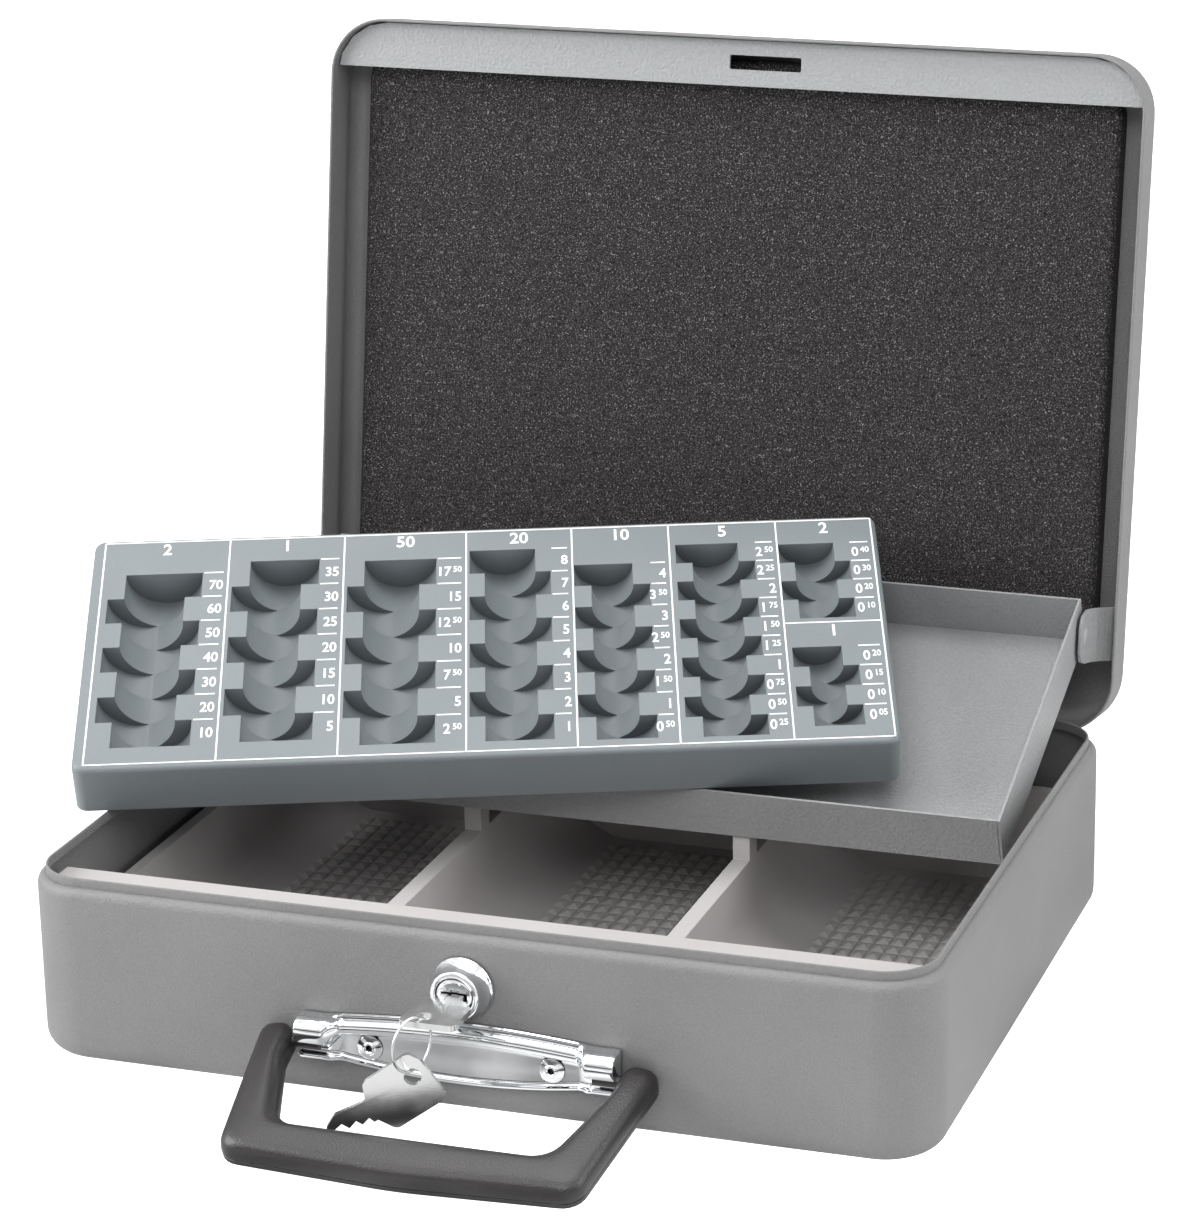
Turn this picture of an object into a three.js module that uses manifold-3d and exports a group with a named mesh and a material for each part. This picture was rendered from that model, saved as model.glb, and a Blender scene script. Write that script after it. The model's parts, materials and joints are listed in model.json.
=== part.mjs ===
// Cash box with a lifting note tray, a loose coin counting tray, a cam lock and a folding handle.
// Millimetres, +Z up, front towards -Y, origin at the middle of the underside.
// Stored with the lid open and the coin tray lying askew on the rims below it.
import * as THREE from "three";
import { mergeVertices } from "three/addons/utils/BufferGeometryUtils.js";
import Module from "manifold-3d";

const kernel = await Module();
kernel.setup();

// Sizes shared by the whole box.
const box_width = 300;
const box_depth = 236;
const corner_radius = 20;
const sheet = 1;
const gap = 0.3;
const wall_top = 56.5;
const rim_top = 63;
const rim_inset = 2.8;
const rim_lip = 3;
const foot_round = 7.5;
const lid_depth = 25;
const lid_round = 6;
const lid_open = 99.15;
// The lid's edge stops just above the height at which the shoulder has room for its sheet.
const shoulder_rise = rim_top - rim_lip - wall_top;
const lid_edge = shoulder_rise * Math.sin(Math.acos(1 - (sheet + gap) / rim_inset)) + gap;

// Note tray and its tabs.
const note_side_room = 11.5;
const note_width = box_width - 2 * note_side_room;
const note_depth = 120.5;
const note_height = 18.6;
const note_sheet = 0.8;
const note_tilt = 19.63;
const pivot_inset = 5.35;
const pivot_height = 6;
const pivot_reach = 35.74;
const pivot_drop = 2.69;
const tab_width = 19;
const tab_sheet = 1.1;
const tab_length = 10;
const tab_offset = 3;
const tab_corner = 6;
const tab_flange = 8;
const tab_rivet_radius = 2;
const tab_rivet_head = 4;
const tab_rivet_rise = 1.3;
const tab_collar = 3.5;

// Coin tray.
const tray_width = 271.7;
const tray_depth = 117.85;
const tray_height = 18.8;
const tray_corner = 4;
const tray_edge = 2.2;
const tray_yaw = 20.35;
const tray_overhang = 9.9;
const tray_rim_reach = 58.5;
const tray_rim_y = tray_rim_reach - box_depth / 2;
const tray_under = 3.4;
const tray_wall = 3;
const tray_rib = 2;
const coin_play = 0.4;
const row_play = 1.6;
const coins_per_row = 5;
// Coin diameter and thickness, rows, the column's middle as a share of the tray's width, its front
// as a share of the tray's depth, and the sideways step from row to row as a share of the coin.
const columns = [
  { coin: 25.75, edge: 2.2, rows: 7, across_share: 0.0824, front_share: 0.0840, step_share: 0.2175 },
  { coin: 23.25, edge: 2.33, rows: 7, across_share: 0.2330, front_share: 0.0899, step_share: 0.2581 },
  { coin: 24.25, edge: 2.38, rows: 7, across_share: 0.3798, front_share: 0.0594, step_share: 0.2392 },
  { coin: 22.25, edge: 2.14, rows: 8, across_share: 0.5293, front_share: 0.0560, step_share: 0.2337 },
  { coin: 19.75, edge: 1.93, rows: 8, across_share: 0.6581, front_share: 0.0458, step_share: 0.2937 },
  { coin: 21.25, edge: 1.67, rows: 10, across_share: 0.7906, front_share: 0.0424, step_share: 0.2635 },
  { coin: 18.75, edge: 1.67, rows: 4, across_share: 0.9168, front_share: 0.5346, step_share: 0.2773 },
  { coin: 16.25, edge: 1.67, rows: 4, across_share: 0.9179, front_share: 0.0696, step_share: 0.3200 },
];

// Plastic insert in the base.
const insert_top = 39;
const insert_shelf = 56;
const insert_shelf_depth = 22.5;
const insert_side_play = 0.7;
const insert_rear_play = 2.2;
const insert_wall = 4.5;
const insert_divider = 6;
const insert_floor = 4;
const insert_scoop = 20;
const insert_heel = 4;
const insert_skin = 2;
const insert_foot = 5;
const insert_foot_height = 8;
const post_top = 47.4;
const post_reach = 102;
const post_front = box_depth / 2 - post_reach;
const post_depth = 8;
const bay_count = 3;

// Hinges.
const hinge_margin = 65;
const hinge_spread = box_width - 2 * hinge_margin;
const hinge_length = 50;
const hinge_radius = 2.8;
const hinge_pin_radius = 1;
const hinge_head_radius = 2;
const hinge_head = 1.2;
const leaf_sheet = 1;
const leaf_height = 16;
const leaf_clear = 4.2;
const knuckle_count = 5;

// Lock.
const lock_x = 1;
const lock_z = 43;
const collar_radius = 10.3;
const collar_face_radius = 7.4;
const collar_reach = 7.5;
const collar_edge = 1.2;
const neck_radius = 8;
const neck_length = 6;
const nut_size = 11.4;
const nut_thickness = 3;
const plug_radius = 5;
const plug_set_back = 0.6;
const plug_tail = 3;
const keyway_depth = 12;
const keyway_width = 8;
const blade_thickness = 2;
const blade_width = 7.2;
const cam_set_back = 8.9;
const cam_plane = box_depth / 2 - cam_set_back;
const cam_sheet = 1.6;
const cam_hub = 7;
const cam_arm = 8;
const cam_offset = 5.5;
const cam_reach = 25.5;
const cam_hook = 3.3;
const cam_hook_reach = 10;
const cam_sweep_play = 3;
const screw_head = 4.2;
const screw_rise = 1.6;

// Strike plate and foam pad.
const strike_rise = 7.1;
const strike_sheet = 1.2;
const strike_width = 17.3;
const strike_edge = box_depth - strike_width;
const strike_lip = 2.4;
const slot_left_reach = 1.3;
const slot_right_reach = 24.9;
const slot_left = lock_x - slot_left_reach;
const slot_right = lock_x + slot_right_reach;
const slot_front = 6.5;
const slot_width = 5;
const slot_far = box_depth - slot_front;
const slot_near = slot_far - slot_width;
const foam_face = 14;
const foam_side = 9.5;
const foam_rear = 8.5;
const foam_front = 7.5;
const foam_corner = 14;

// Keys and ring.
const bow_start = 11.6;
const bow_end = 30.5;
const bow_half = 9;
const bow_corner = 2;
const bow_chamfer = 4.5;
const bow_hole = 2.8;
const bow_hole_side = 2.5;
const bow_hole_x = lock_x - bow_hole_side;
const bow_hole_reach = 25.5;
const ring_radius = 8.5;
const ring_wire = 0.55;
const ring_drop = 6.2;
const ring_turn = 20.5;
const spare_turn = 17;
const spare_play = 0.55;
const spare_outline = [
  { x: -1.5, z: 7.6, round: 2.4 },
  { x: 2.4, z: 5.4, round: 2.4 },
  { x: 10.6, z: -6.8, round: 2.4 },
  { x: -5.2, z: -17.2, round: 2.4 },
  { x: -10.9, z: -14.2, round: 0 },
  { x: -12, z: -14.9, round: 0 },
  { x: -13.6, z: -13.6, round: 0 },
  { x: -15.6, z: -15.8, round: 0 },
  { x: -17.6, z: -14.6, round: 0 },
  { x: -19.6, z: -17, round: 0 },
  { x: -22, z: -15.6, round: 0 },
  { x: -24.4, z: -17.8, round: 0 },
  { x: -27.4, z: -17.8, round: 1 },
  { x: -24, z: -12.4, round: 0.8 },
  { x: -14.6, z: -8, round: 0.8 },
  { x: -15.4, z: -2.2, round: 2 },
];

// Handle and its bracket.
const handle_pivot_out = 5.6;
const handle_thickness = 10;
const handle_bevel = 3.6;
const handle_side_play = 1.5;
const handle_arm = 12;
const handle_foot_taper = 7.5;
const handle_foot_arm = 12.5;
const handle_corner_reach = 52;
const handle_reach = 55.6;
const handle_window = 39.6;
const handle_head = 4.6;
const handle_corner = 7;
const handle_fillet = 9;
const handle_pin = 1.9;
const handle_pin_length = 9;
const handle_pivot_z = 20.5;
const bracket_half = 52.5;
const bracket_low = 15.2;
const bracket_high = 29.3;
const bracket_sheet = 1;
const bracket_out = 9.4;
const bracket_recess = 39.5;
const bracket_roll = 3.2;
const bracket_round = 3.4;
const bracket_lip = 1;
const rivet_spread = 60;
const rivet_z = 19.6;
const rivet_radius = 2.2;
const rivet_head = 3.1;
const rivet_rise = 1.5;
const rivet_bore = 1;
const rivet_bore_depth = 3;

// Smoothness.
const corner_steps = 7;
const edge_steps = 4;
const round_steps = 28;
const small_steps = 16;
const trough_steps = 26;
const margin = 2;

// Values that follow.
const handle_top_half = bracket_half + handle_side_play + handle_arm;
const handle_foot_half = handle_top_half - handle_foot_taper;
const handle_window_half = handle_foot_half - handle_foot_arm;
// Beside the folded bracket the arms stay apart by its width and a little play.
const handle_straight = bracket_high - handle_pivot_z + 2 * gap;
const handle_straight_half = bracket_half + 2 * gap;
const half_width = box_width / 2;
const half_depth = box_depth / 2;
const radians = THREE.MathUtils.degToRad;
const identity = new THREE.Matrix4();
const steel = { color: 0x7d8080, roughness: 0.6, metalness: 0.35 };
const pale_steel = { color: 0x9a9d9d, roughness: 0.55, metalness: 0.35 };
const bright = { color: 0xd4d6d8, roughness: 0.12, metalness: 1 };
const zinc = { color: 0xb4b6b8, roughness: 0.35, metalness: 1 };
const tray_plastic = { color: 0x8d9c9d, roughness: 0.5, metalness: 0 };
const insert_plastic = { color: 0xc4c1be, roughness: 0.55, metalness: 0 };
const grip_plastic = { color: 0x3a3234, roughness: 0.55, metalness: 0 };
const foam = { color: 0x26282a, roughness: 0.95, metalness: 0 };

// Turns a closed three.js geometry into a solid, placed by a matrix.
function solid(geometry, matrix = identity) {
  const bare = new THREE.BufferGeometry();
  const flat = geometry.index ? geometry.toNonIndexed() : geometry;
  bare.setAttribute("position", flat.getAttribute("position").clone());
  bare.applyMatrix4(matrix);
  const merged = mergeVertices(bare, margin / 10000);
  const mesh = new kernel.Mesh({
    numProp: 3,
    vertProperties: merged.attributes.position.array,
    triVerts: new Uint32Array(merged.index.array),
  });
  return new kernel.Manifold(mesh);
}

const join = (...solids) => kernel.Manifold.union(solids);
const cut = (body, ...tools) => kernel.Manifold.difference([body, ...tools]);
const common = (...solids) => kernel.Manifold.intersection(solids);

// Places a solid by a matrix.
const placed = (body, matrix) => body.transform(matrix.elements);

// Makes a named mesh of a solid.
function piece(name, body, finish) {
  const mesh = body.getMesh();
  const geometry = new THREE.BufferGeometry();
  const points = [];
  for (let i = 0; i < mesh.numVert; i += 1) {
    const start = i * mesh.numProp;
    points.push(...mesh.vertProperties.slice(start, start + 3));
  }
  geometry.setAttribute("position", new THREE.Float32BufferAttribute(points, 3));
  geometry.setIndex(Array.from(mesh.triVerts));
  const result = new THREE.Mesh(geometry, new THREE.MeshStandardMaterial(finish));
  result.name = name;
  return result;
}

// A box between two corners.
function block(low, high) {
  const size = new THREE.Vector3().subVectors(high, low);
  const middle = new THREE.Vector3().addVectors(low, high).multiplyScalar(0.5);
  const matrix = new THREE.Matrix4().makeTranslation(middle);
  return solid(new THREE.BoxGeometry(size.x, size.y, size.z), matrix);
}

const at = (x, y, z) => new THREE.Vector3(x, y, z);

// Frames whose drawing plane stands across one axis: x draws (y, z), y draws (x, z), z draws (x, y).
function frame_across(axis, place) {
  const matrix = new THREE.Matrix4();
  if (axis === "x") {
    matrix.makeBasis(at(0, 1, 0), at(0, 0, 1), at(1, 0, 0)).setPosition(place, 0, 0);
  } else if (axis === "y") {
    matrix.makeBasis(at(1, 0, 0), at(0, 0, 1), at(0, -1, 0)).setPosition(0, place, 0);
  } else {
    matrix.setPosition(0, 0, place);
  }
  return matrix;
}

// An outline, given as points or as a shape, pushed along an axis from low to high.
function prism(axis, low, high, outline) {
  const shape = outline.isShape ? outline : new THREE.Shape(outline);
  const geometry = new THREE.ExtrudeGeometry(shape, {
    depth: high - low,
    bevelEnabled: false,
    curveSegments: edge_steps,
  });
  return solid(geometry, frame_across(axis, axis === "y" ? high : low));
}

// A closed polygon whose corners are rounded by each point's own radius.
function rounded(corners, steps = edge_steps) {
  const points = [];
  corners.forEach((corner, i) => {
    const before = corners[(i + corners.length - 1) % corners.length];
    const after = corners[(i + 1) % corners.length];
    const here = new THREE.Vector2(corner.x, corner.y);
    if (!corner.round) {
      points.push(here);
      return;
    }
    const back = new THREE.Vector2(before.x, before.y).sub(here).normalize();
    const on = new THREE.Vector2(after.x, after.y).sub(here).normalize();
    const half = Math.acos(THREE.MathUtils.clamp(back.dot(on), -1, 1)) / 2;
    const reach = corner.round / Math.tan(half);
    const middle = back.clone().add(on).normalize();
    middle.multiplyScalar(corner.round / Math.sin(half)).add(here);
    const first = back.clone().multiplyScalar(reach).add(here).sub(middle);
    const last = on.clone().multiplyScalar(reach).add(here).sub(middle);
    const turn = Math.atan2(first.cross(last), first.dot(last));
    for (let k = 0; k <= steps; k += 1) {
      const spoke = first.clone().rotateAround(new THREE.Vector2(), (turn * k) / steps);
      points.push(spoke.add(middle));
    }
  });
  return points;
}

// A rectangle about a middle, with rounded corners.
function rectangle(x, y, half_x, half_y, round) {
  return rounded([
    { x: x - half_x, y: y - half_y, round },
    { x: x + half_x, y: y - half_y, round },
    { x: x + half_x, y: y + half_y, round },
    { x: x - half_x, y: y + half_y, round },
  ]);
}

// A solid of revolution about an axis through a middle: points are (radius, place on the axis).
function turned(axis, middle, points, steps = round_steps) {
  const profile = points.map(([radius, place]) => new THREE.Vector2(radius, place));
  profile.push(profile[0].clone());
  const geometry = new THREE.LatheGeometry(profile, steps);
  const matrix = new THREE.Matrix4();
  if (axis === "x") {
    matrix.makeBasis(at(0, -1, 0), at(1, 0, 0), at(0, 0, 1)).setPosition(0, middle.y, middle.z);
  } else if (axis === "y") {
    matrix.setPosition(middle.x, 0, middle.z);
  } else {
    matrix.makeBasis(at(1, 0, 0), at(0, 0, 1), at(0, -1, 0)).setPosition(middle.x, middle.y, 0);
  }
  const made = solid(geometry, matrix);
  if (made.volume() > 0) return made;
  return turned(axis, middle, points.slice().reverse(), steps);
}

// A round bar along an axis.
function bar(axis, middle, radius, low, high, steps = round_steps) {
  return turned(axis, middle, [[0, low], [radius, low], [radius, high], [0, high]], steps);
}

// A body lofted through rounded rectangles, each with its height, its inset and its corner radius.
function lofted(rings, half_x, half_y, radius, middle_y = 0) {
  const points = [];
  const index = [];
  const per_ring = 4 * (corner_steps + 1);
  rings.forEach(({ z, inset }) => {
    const round = Math.max(radius - inset, radius / 10);
    for (let corner = 0; corner < 4; corner += 1) {
      const side_x = corner === 0 || corner === 3 ? 1 : -1;
      const side_y = corner < 2 ? 1 : -1;
      for (let k = 0; k <= corner_steps; k += 1) {
        const angle = (Math.PI / 2) * (corner + k / corner_steps);
        const x = side_x * (half_x - inset - round) + round * Math.cos(angle);
        const y = side_y * (half_y - inset - round) + round * Math.sin(angle);
        points.push(x, y + middle_y, z);
      }
    }
  });
  for (let r = 0; r + 1 < rings.length; r += 1) {
    for (let k = 0; k < per_ring; k += 1) {
      const a = r * per_ring + k;
      const b = r * per_ring + ((k + 1) % per_ring);
      index.push(a, b, b + per_ring, a, b + per_ring, a + per_ring);
    }
  }
  const last = (rings.length - 1) * per_ring;
  for (let k = 1; k + 1 < per_ring; k += 1) {
    index.push(0, k + 1, k, last, last + k, last + k + 1);
  }
  const geometry = new THREE.BufferGeometry();
  geometry.setAttribute("position", new THREE.Float32BufferAttribute(points, 3));
  geometry.setIndex(index);
  return solid(geometry);
}

// Rings of a quarter round, from one height and inset to another.
function quarter(z_start, inset_start, z_end, inset_end, bulge_first) {
  const rings = [];
  for (let k = 0; k <= edge_steps; k += 1) {
    const angle = ((Math.PI / 2) * k) / edge_steps;
    const along = bulge_first ? Math.sin(angle) : 1 - Math.cos(angle);
    const across = bulge_first ? 1 - Math.cos(angle) : Math.sin(angle);
    rings.push({
      z: z_start + (z_end - z_start) * along,
      inset: inset_start + (inset_end - inset_start) * across,
    });
  }
  return rings;
}

// Base shell.
function base_rings(skin, top) {
  return [
    ...quarter(skin, foot_round, foot_round, skin, false),
    ...quarter(wall_top, skin, rim_top - rim_lip, rim_inset + skin, true),
    { z: top, inset: rim_inset + skin },
  ];
}

const hinge_places = [-hinge_spread / 2, hinge_spread / 2];
const notch_half = hinge_length / 2 + hinge_head + 2 * gap;
const notch_low = wall_top - hinge_radius - 2 * gap;
const notch_front = half_depth - corner_radius / 2;

function make_base_shell() {
  const outside = lofted(base_rings(0, rim_top), half_width, half_depth, corner_radius);
  const inside = lofted(base_rings(sheet, rim_top + margin), half_width, half_depth, corner_radius);
  const notches = hinge_places.map((x) =>
    block(
      at(x - notch_half, notch_front, notch_low),
      at(x + notch_half, half_depth + margin, rim_top + margin),
    ),
  );
  const lock_middle = at(lock_x, 0, lock_z);
  const front = -half_depth - margin;
  const back = -half_depth + sheet + margin;
  const lock_hole = bar("y", lock_middle, neck_radius + gap, front, back);
  const rivet_holes = [-1, 1].map((side) =>
    bar("y", at((side * rivet_spread) / 2, 0, rivet_z), rivet_radius + gap, front, back, small_steps),
  );
  return cut(outside, inside, lock_hole, ...notches, ...rivet_holes);
}

// Lid, drawn closed with its hinge line at y = 0, z = 0.
function make_lid_shell() {
  const rings = (skin, low, steps) => [
    { z: low, inset: skin },
    ...quarter(lid_depth - lid_round, skin, lid_depth - skin, lid_round, steps),
  ];
  const outside = lofted(rings(0, lid_edge, true), half_width, half_depth, corner_radius, -half_depth);
  const inside = lofted(
    rings(sheet, lid_edge - margin, true),
    half_width,
    half_depth,
    corner_radius,
    -half_depth,
  );
  const notches = hinge_places.map((x) =>
    block(at(x - notch_half, -sheet - margin, -margin), at(x + notch_half, margin, leaf_clear + gap)),
  );
  return cut(outside, inside, ...notches);
}

function make_strike_plate() {
  const half_x = half_width - sheet - gap;
  const half_y = half_depth - sheet - gap;
  const round = corner_radius - sheet - gap;
  const low = strike_rise;
  const high = strike_rise + strike_sheet;
  const outline = rectangle(0, -half_depth, half_x, half_y, round);
  const whole = prism("z", low, high + strike_lip, outline);
  const strip = block(at(-half_width, -box_depth, low - margin), at(half_width, -strike_edge, high));
  const lip = block(
    at(-half_width, -strike_edge - strike_sheet, low - margin),
    at(half_width, -strike_edge, high + strike_lip + margin),
  );
  const slot_x = (slot_left + slot_right) / 2;
  const slot_y = -(slot_near + slot_far) / 2;
  const slot_half_y = (slot_far - slot_near) / 2;
  const slot = prism(
    "z",
    low - margin,
    high + margin,
    rectangle(slot_x, slot_y, (slot_right - slot_left) / 2, slot_half_y, slot_half_y / 4),
  );
  return cut(common(whole, join(strip, lip)), slot);
}

function make_foam_pad() {
  const near = foam_rear;
  const far = box_depth - sheet - foam_front;
  const middle = -(near + far) / 2;
  const outline = rectangle(0, middle, half_width - sheet - foam_side, (far - near) / 2, foam_corner);
  return prism("z", foam_face, lid_depth - sheet - gap, outline);
}

// Hinges.
const knuckle = hinge_length / knuckle_count;
const leaf_face = sheet + gap;

// The knuckles of one leaf, with the stems that carry them; up is 1 for the lid's leaf.
function make_leaf(x, own, up) {
  const start = x - hinge_length / 2;
  const plate = block(
    at(start, -leaf_face - leaf_sheet, up > 0 ? leaf_clear : -leaf_clear - leaf_height),
    at(start + hinge_length, -leaf_face, up > 0 ? leaf_clear + leaf_height : -leaf_clear),
  );
  const parts = [plate];
  for (let k = own; k < knuckle_count; k += 2) {
    const low = start + k * knuckle + gap / 2;
    const high = start + (k + 1) * knuckle - gap / 2;
    parts.push(bar("x", at(0, 0, 0), hinge_radius, low, high, small_steps));
    const stem_low = up > 0 ? 0 : -leaf_clear - sheet;
    const stem_high = up > 0 ? leaf_clear + sheet : 0;
    parts.push(block(at(low, -leaf_face - leaf_sheet, stem_low), at(high, -leaf_face, stem_high)));
  }
  const reach = hinge_length / 2 + margin;
  const bore = bar("x", at(0, 0, 0), hinge_pin_radius + gap, x - reach, x + reach, small_steps);
  return cut(join(...parts), bore);
}

function make_hinge_pin(x) {
  const low = x - hinge_length / 2 - gap;
  const high = x + hinge_length / 2 + gap;
  return turned(
    "x",
    at(0, 0, 0),
    [
      [0, low - hinge_head],
      [hinge_head_radius, low - hinge_head],
      [hinge_head_radius, low],
      [hinge_pin_radius, low],
      [hinge_pin_radius, high],
      [hinge_head_radius, high],
      [hinge_head_radius, high + hinge_head],
      [0, high + hinge_head],
    ],
    small_steps,
  );
}

// Tabs that carry the note tray, in the lid's frame.
const tab_face = note_width / 2 + tab_offset;
const rim_inner = half_width - rim_inset - sheet;
const tab_step = rim_top - wall_top + 3 * gap;

function make_tab(side) {
  const wall = half_width - sheet - gap;
  const section = [
    { x: tab_face, y: -tab_length, round: 0 },
    { x: tab_face + tab_sheet, y: -tab_length, round: 0 },
    { x: tab_face + tab_sheet, y: tab_step, round: 0 },
    { x: wall, y: tab_step, round: 0 },
    { x: wall, y: tab_step + tab_flange, round: 0 },
    { x: wall - tab_sheet, y: tab_step + tab_flange, round: 0 },
    { x: wall - tab_sheet, y: tab_step + tab_sheet, round: 0 },
    { x: tab_face, y: tab_step + tab_sheet, round: 0 },
  ].map((p) => ({ ...p, x: p.x * side }));
  const near = -pivot_reach - tab_width / 2;
  const far = -pivot_reach + tab_width / 2;
  const strip = prism("y", near, far, rounded(side > 0 ? section : section.slice().reverse()));
  const span = [side * (tab_face - margin), side * (half_width + margin)].sort((a, b) => a - b);
  const outline = rounded([
    { x: near, y: -tab_length, round: tab_corner },
    { x: far, y: -tab_length, round: tab_corner },
    { x: far, y: lid_depth, round: 0 },
    { x: near, y: lid_depth, round: 0 },
  ]);
  const middle = at(0, -pivot_reach, -pivot_drop);
  const hole = bar("x", middle, tab_rivet_radius + gap, span[0], span[1], small_steps);
  return cut(common(strip, prism("x", span[0], span[1], outline)), hole);
}

function make_tab_rivet(side) {
  const inner = note_width / 2 - note_sheet - gap;
  const tray_outer = note_width / 2 + gap;
  const tab_outer = tab_face + tab_sheet + gap;
  const profile = [
    [0, inner - tab_rivet_rise],
    [tab_rivet_head * 0.7, inner - tab_rivet_rise],
    [tab_rivet_head, inner - tab_rivet_rise / 3],
    [tab_rivet_head, inner],
    [tab_rivet_radius, inner],
    [tab_rivet_radius, tray_outer],
    [tab_collar, tray_outer],
    [tab_collar, tab_face - gap],
    [tab_rivet_radius, tab_face - gap],
    [tab_rivet_radius, tab_outer],
    [tab_rivet_head, tab_outer],
    [tab_rivet_head, tab_outer + tab_rivet_rise / 3],
    [tab_rivet_head * 0.7, tab_outer + tab_rivet_rise],
    [0, tab_outer + tab_rivet_rise],
  ].map(([radius, place]) => [radius, side * place]);
  return turned("x", at(0, -pivot_reach, -pivot_drop), profile, small_steps);
}

// Note tray, about its pivot.
function make_note_tray() {
  const rear = pivot_inset;
  const front = pivot_inset - note_depth;
  const half = note_width / 2;
  const low = -pivot_height;
  const high = note_height - pivot_height;
  const outside = block(at(-half, front, low), at(half, rear, high));
  const inside = block(
    at(-half + note_sheet, front + note_sheet, low + note_sheet),
    at(half - note_sheet, rear - note_sheet, high + margin),
  );
  const hole = bar("x", at(0, 0, 0), tab_rivet_radius + gap, -half - margin, half + margin, small_steps);
  return cut(outside, inside, hole);
}

// Coin tray, from the front left corner of its underside.
function make_coin_tray() {
  const rings = [
    { z: 0, inset: 0 },
    ...quarter(tray_height - tray_edge, 0, tray_height, tray_edge, true),
  ];
  const half_x = tray_width / 2;
  const half_y = tray_depth / 2;
  const shift = new THREE.Matrix4().makeTranslation(half_x, half_y, 0);
  const outside = placed(lofted(rings, half_x, half_y, tray_corner), shift);
  const troughs = columns.flatMap((column) => {
    const radius = (column.coin + coin_play) / 2;
    const pitch = coins_per_row * column.edge + row_play;
    const rows = [];
    for (let row = 0; row < column.rows; row += 1) {
      const side = row % 2 === 0 ? 1 : -1;
      const step = side * column.coin * column.step_share;
      const middle = at(tray_width * column.across_share + step / 2, 0, tray_height);
      const low = tray_depth * column.front_share + row * pitch;
      rows.push(bar("y", middle, radius, low, low + pitch, trough_steps));
    }
    return rows;
  });
  const under = [];
  const bays = columns.length / 2;
  const bay = (tray_width - tray_wall * 2 + tray_rib) / bays;
  for (let k = 0; k < bays; k += 1) {
    const low = tray_wall + k * bay;
    const outline = rectangle(
      low + (bay - tray_rib) / 2,
      tray_depth / 2,
      (bay - tray_rib) / 2,
      tray_depth / 2 - tray_wall,
      tray_rib,
    );
    under.push(prism("z", -margin, tray_under, outline));
  }
  return cut(outside, join(...troughs), ...under);
}

// The pose in which the coin tray lies on the left rim and on the note tray's front and rear walls.
function coin_tray_pose(note) {
  const corner = (y, z) => at(0, y, z).applyMatrix4(note);
  const front_top = corner(pivot_inset - note_depth + note_sheet / 2, note_height - pivot_height);
  const rear_top = corner(pivot_inset, note_height - pivot_height);
  const yaw = radians(tray_yaw);
  const rim_x = -(half_width - rim_inset - sheet / 2);
  const on_rim = at(rim_x, tray_rim_y, rim_top + gap);
  const run = (front_top.y - on_rim.y) / Math.sin(yaw);
  const on_front = at(on_rim.x + run * Math.cos(yaw), front_top.y, front_top.z + gap);
  const along = new THREE.Vector3().subVectors(on_front, on_rim).normalize();
  const corner_left = on_rim.clone().addScaledVector(along, -tray_overhang);
  const corner_right = corner_left.clone().addScaledVector(along, tray_width);
  const level = at(-Math.sin(yaw), Math.cos(yaw), 0);
  const lean = new THREE.Vector3().crossVectors(along, level);
  const rise = (rear_top.z + gap - corner_right.z) / lean.z;
  const reach = (rear_top.y - corner_right.y - rise * lean.y) / level.y;
  const back = level.clone().multiplyScalar(reach).addScaledVector(lean, rise).normalize();
  const up = new THREE.Vector3().crossVectors(along, back);
  return new THREE.Matrix4().makeBasis(along, back, up).setPosition(corner_left);
}

// Plastic insert.
function make_insert() {
  const half_x = rim_inner - insert_side_play;
  const front = -half_depth + rim_inset + sheet + insert_side_play;
  const rear = half_depth - rim_inset - sheet - insert_rear_play;
  const half_y = (rear - front) / 2;
  const middle_y = (rear + front) / 2;
  const low = sheet + gap;
  const foot = low + insert_foot_height;
  const radius = corner_radius - rim_inset - sheet;
  const rings = (top) => [
    { z: low, inset: insert_foot },
    { z: foot, inset: sheet },
    { z: top, inset: 0 },
  ];
  const tall = lofted(rings(insert_shelf), half_x, half_y, radius, middle_y);
  const shelf_end = front + insert_shelf_depth;
  const above = block(
    at(-half_width, shelf_end, insert_top),
    at(half_width, half_depth, insert_shelf + margin),
  );
  const bay = (2 * half_x - 2 * insert_wall - (bay_count - 1) * insert_divider) / bay_count;
  const bays = [];
  const posts = [];
  for (let k = 0; k < bay_count; k += 1) {
    const left = -half_x + insert_wall + k * (bay + insert_divider);
    const right = left + bay;
    const section = rounded(
      [
        { x: left, y: insert_floor, round: insert_scoop },
        { x: right, y: insert_floor, round: insert_heel },
        { x: right, y: insert_top + margin, round: 0 },
        { x: left, y: insert_top + margin, round: 0 },
      ],
      corner_steps,
    );
    bays.push(prism("y", shelf_end, rear - insert_wall, section));
    if (k > 0) {
      posts.push(
        block(
          at(left - insert_divider, post_front, insert_top - margin),
          at(left, post_front + post_depth, post_top),
        ),
      );
    }
  }
  const hollow = block(
    at(-half_x + insert_foot + insert_wall, front - margin, low - margin),
    at(half_x - insert_foot - insert_wall, shelf_end - insert_skin, insert_shelf - insert_skin),
  );
  const sweep = cam_reach + cam_sweep_play;
  const cam_slot = block(
    at(lock_x - cam_hook_reach, front - margin, insert_shelf - insert_skin - margin),
    at(lock_x + sweep, -cam_plane + cam_sweep_play, insert_shelf + margin),
  );
  return cut(join(cut(tall, above), ...posts), ...bays, hollow, cam_slot);
}

// Lock.
const lock_middle = at(lock_x, 0, lock_z);
const face_y = -half_depth - gap - collar_reach;
const nut_face = -half_depth + sheet + gap;
const plug_face = face_y + plug_set_back;
const cam_front = -cam_plane - cam_sheet / 2;
const cam_back = -cam_plane + cam_sheet / 2;

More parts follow.
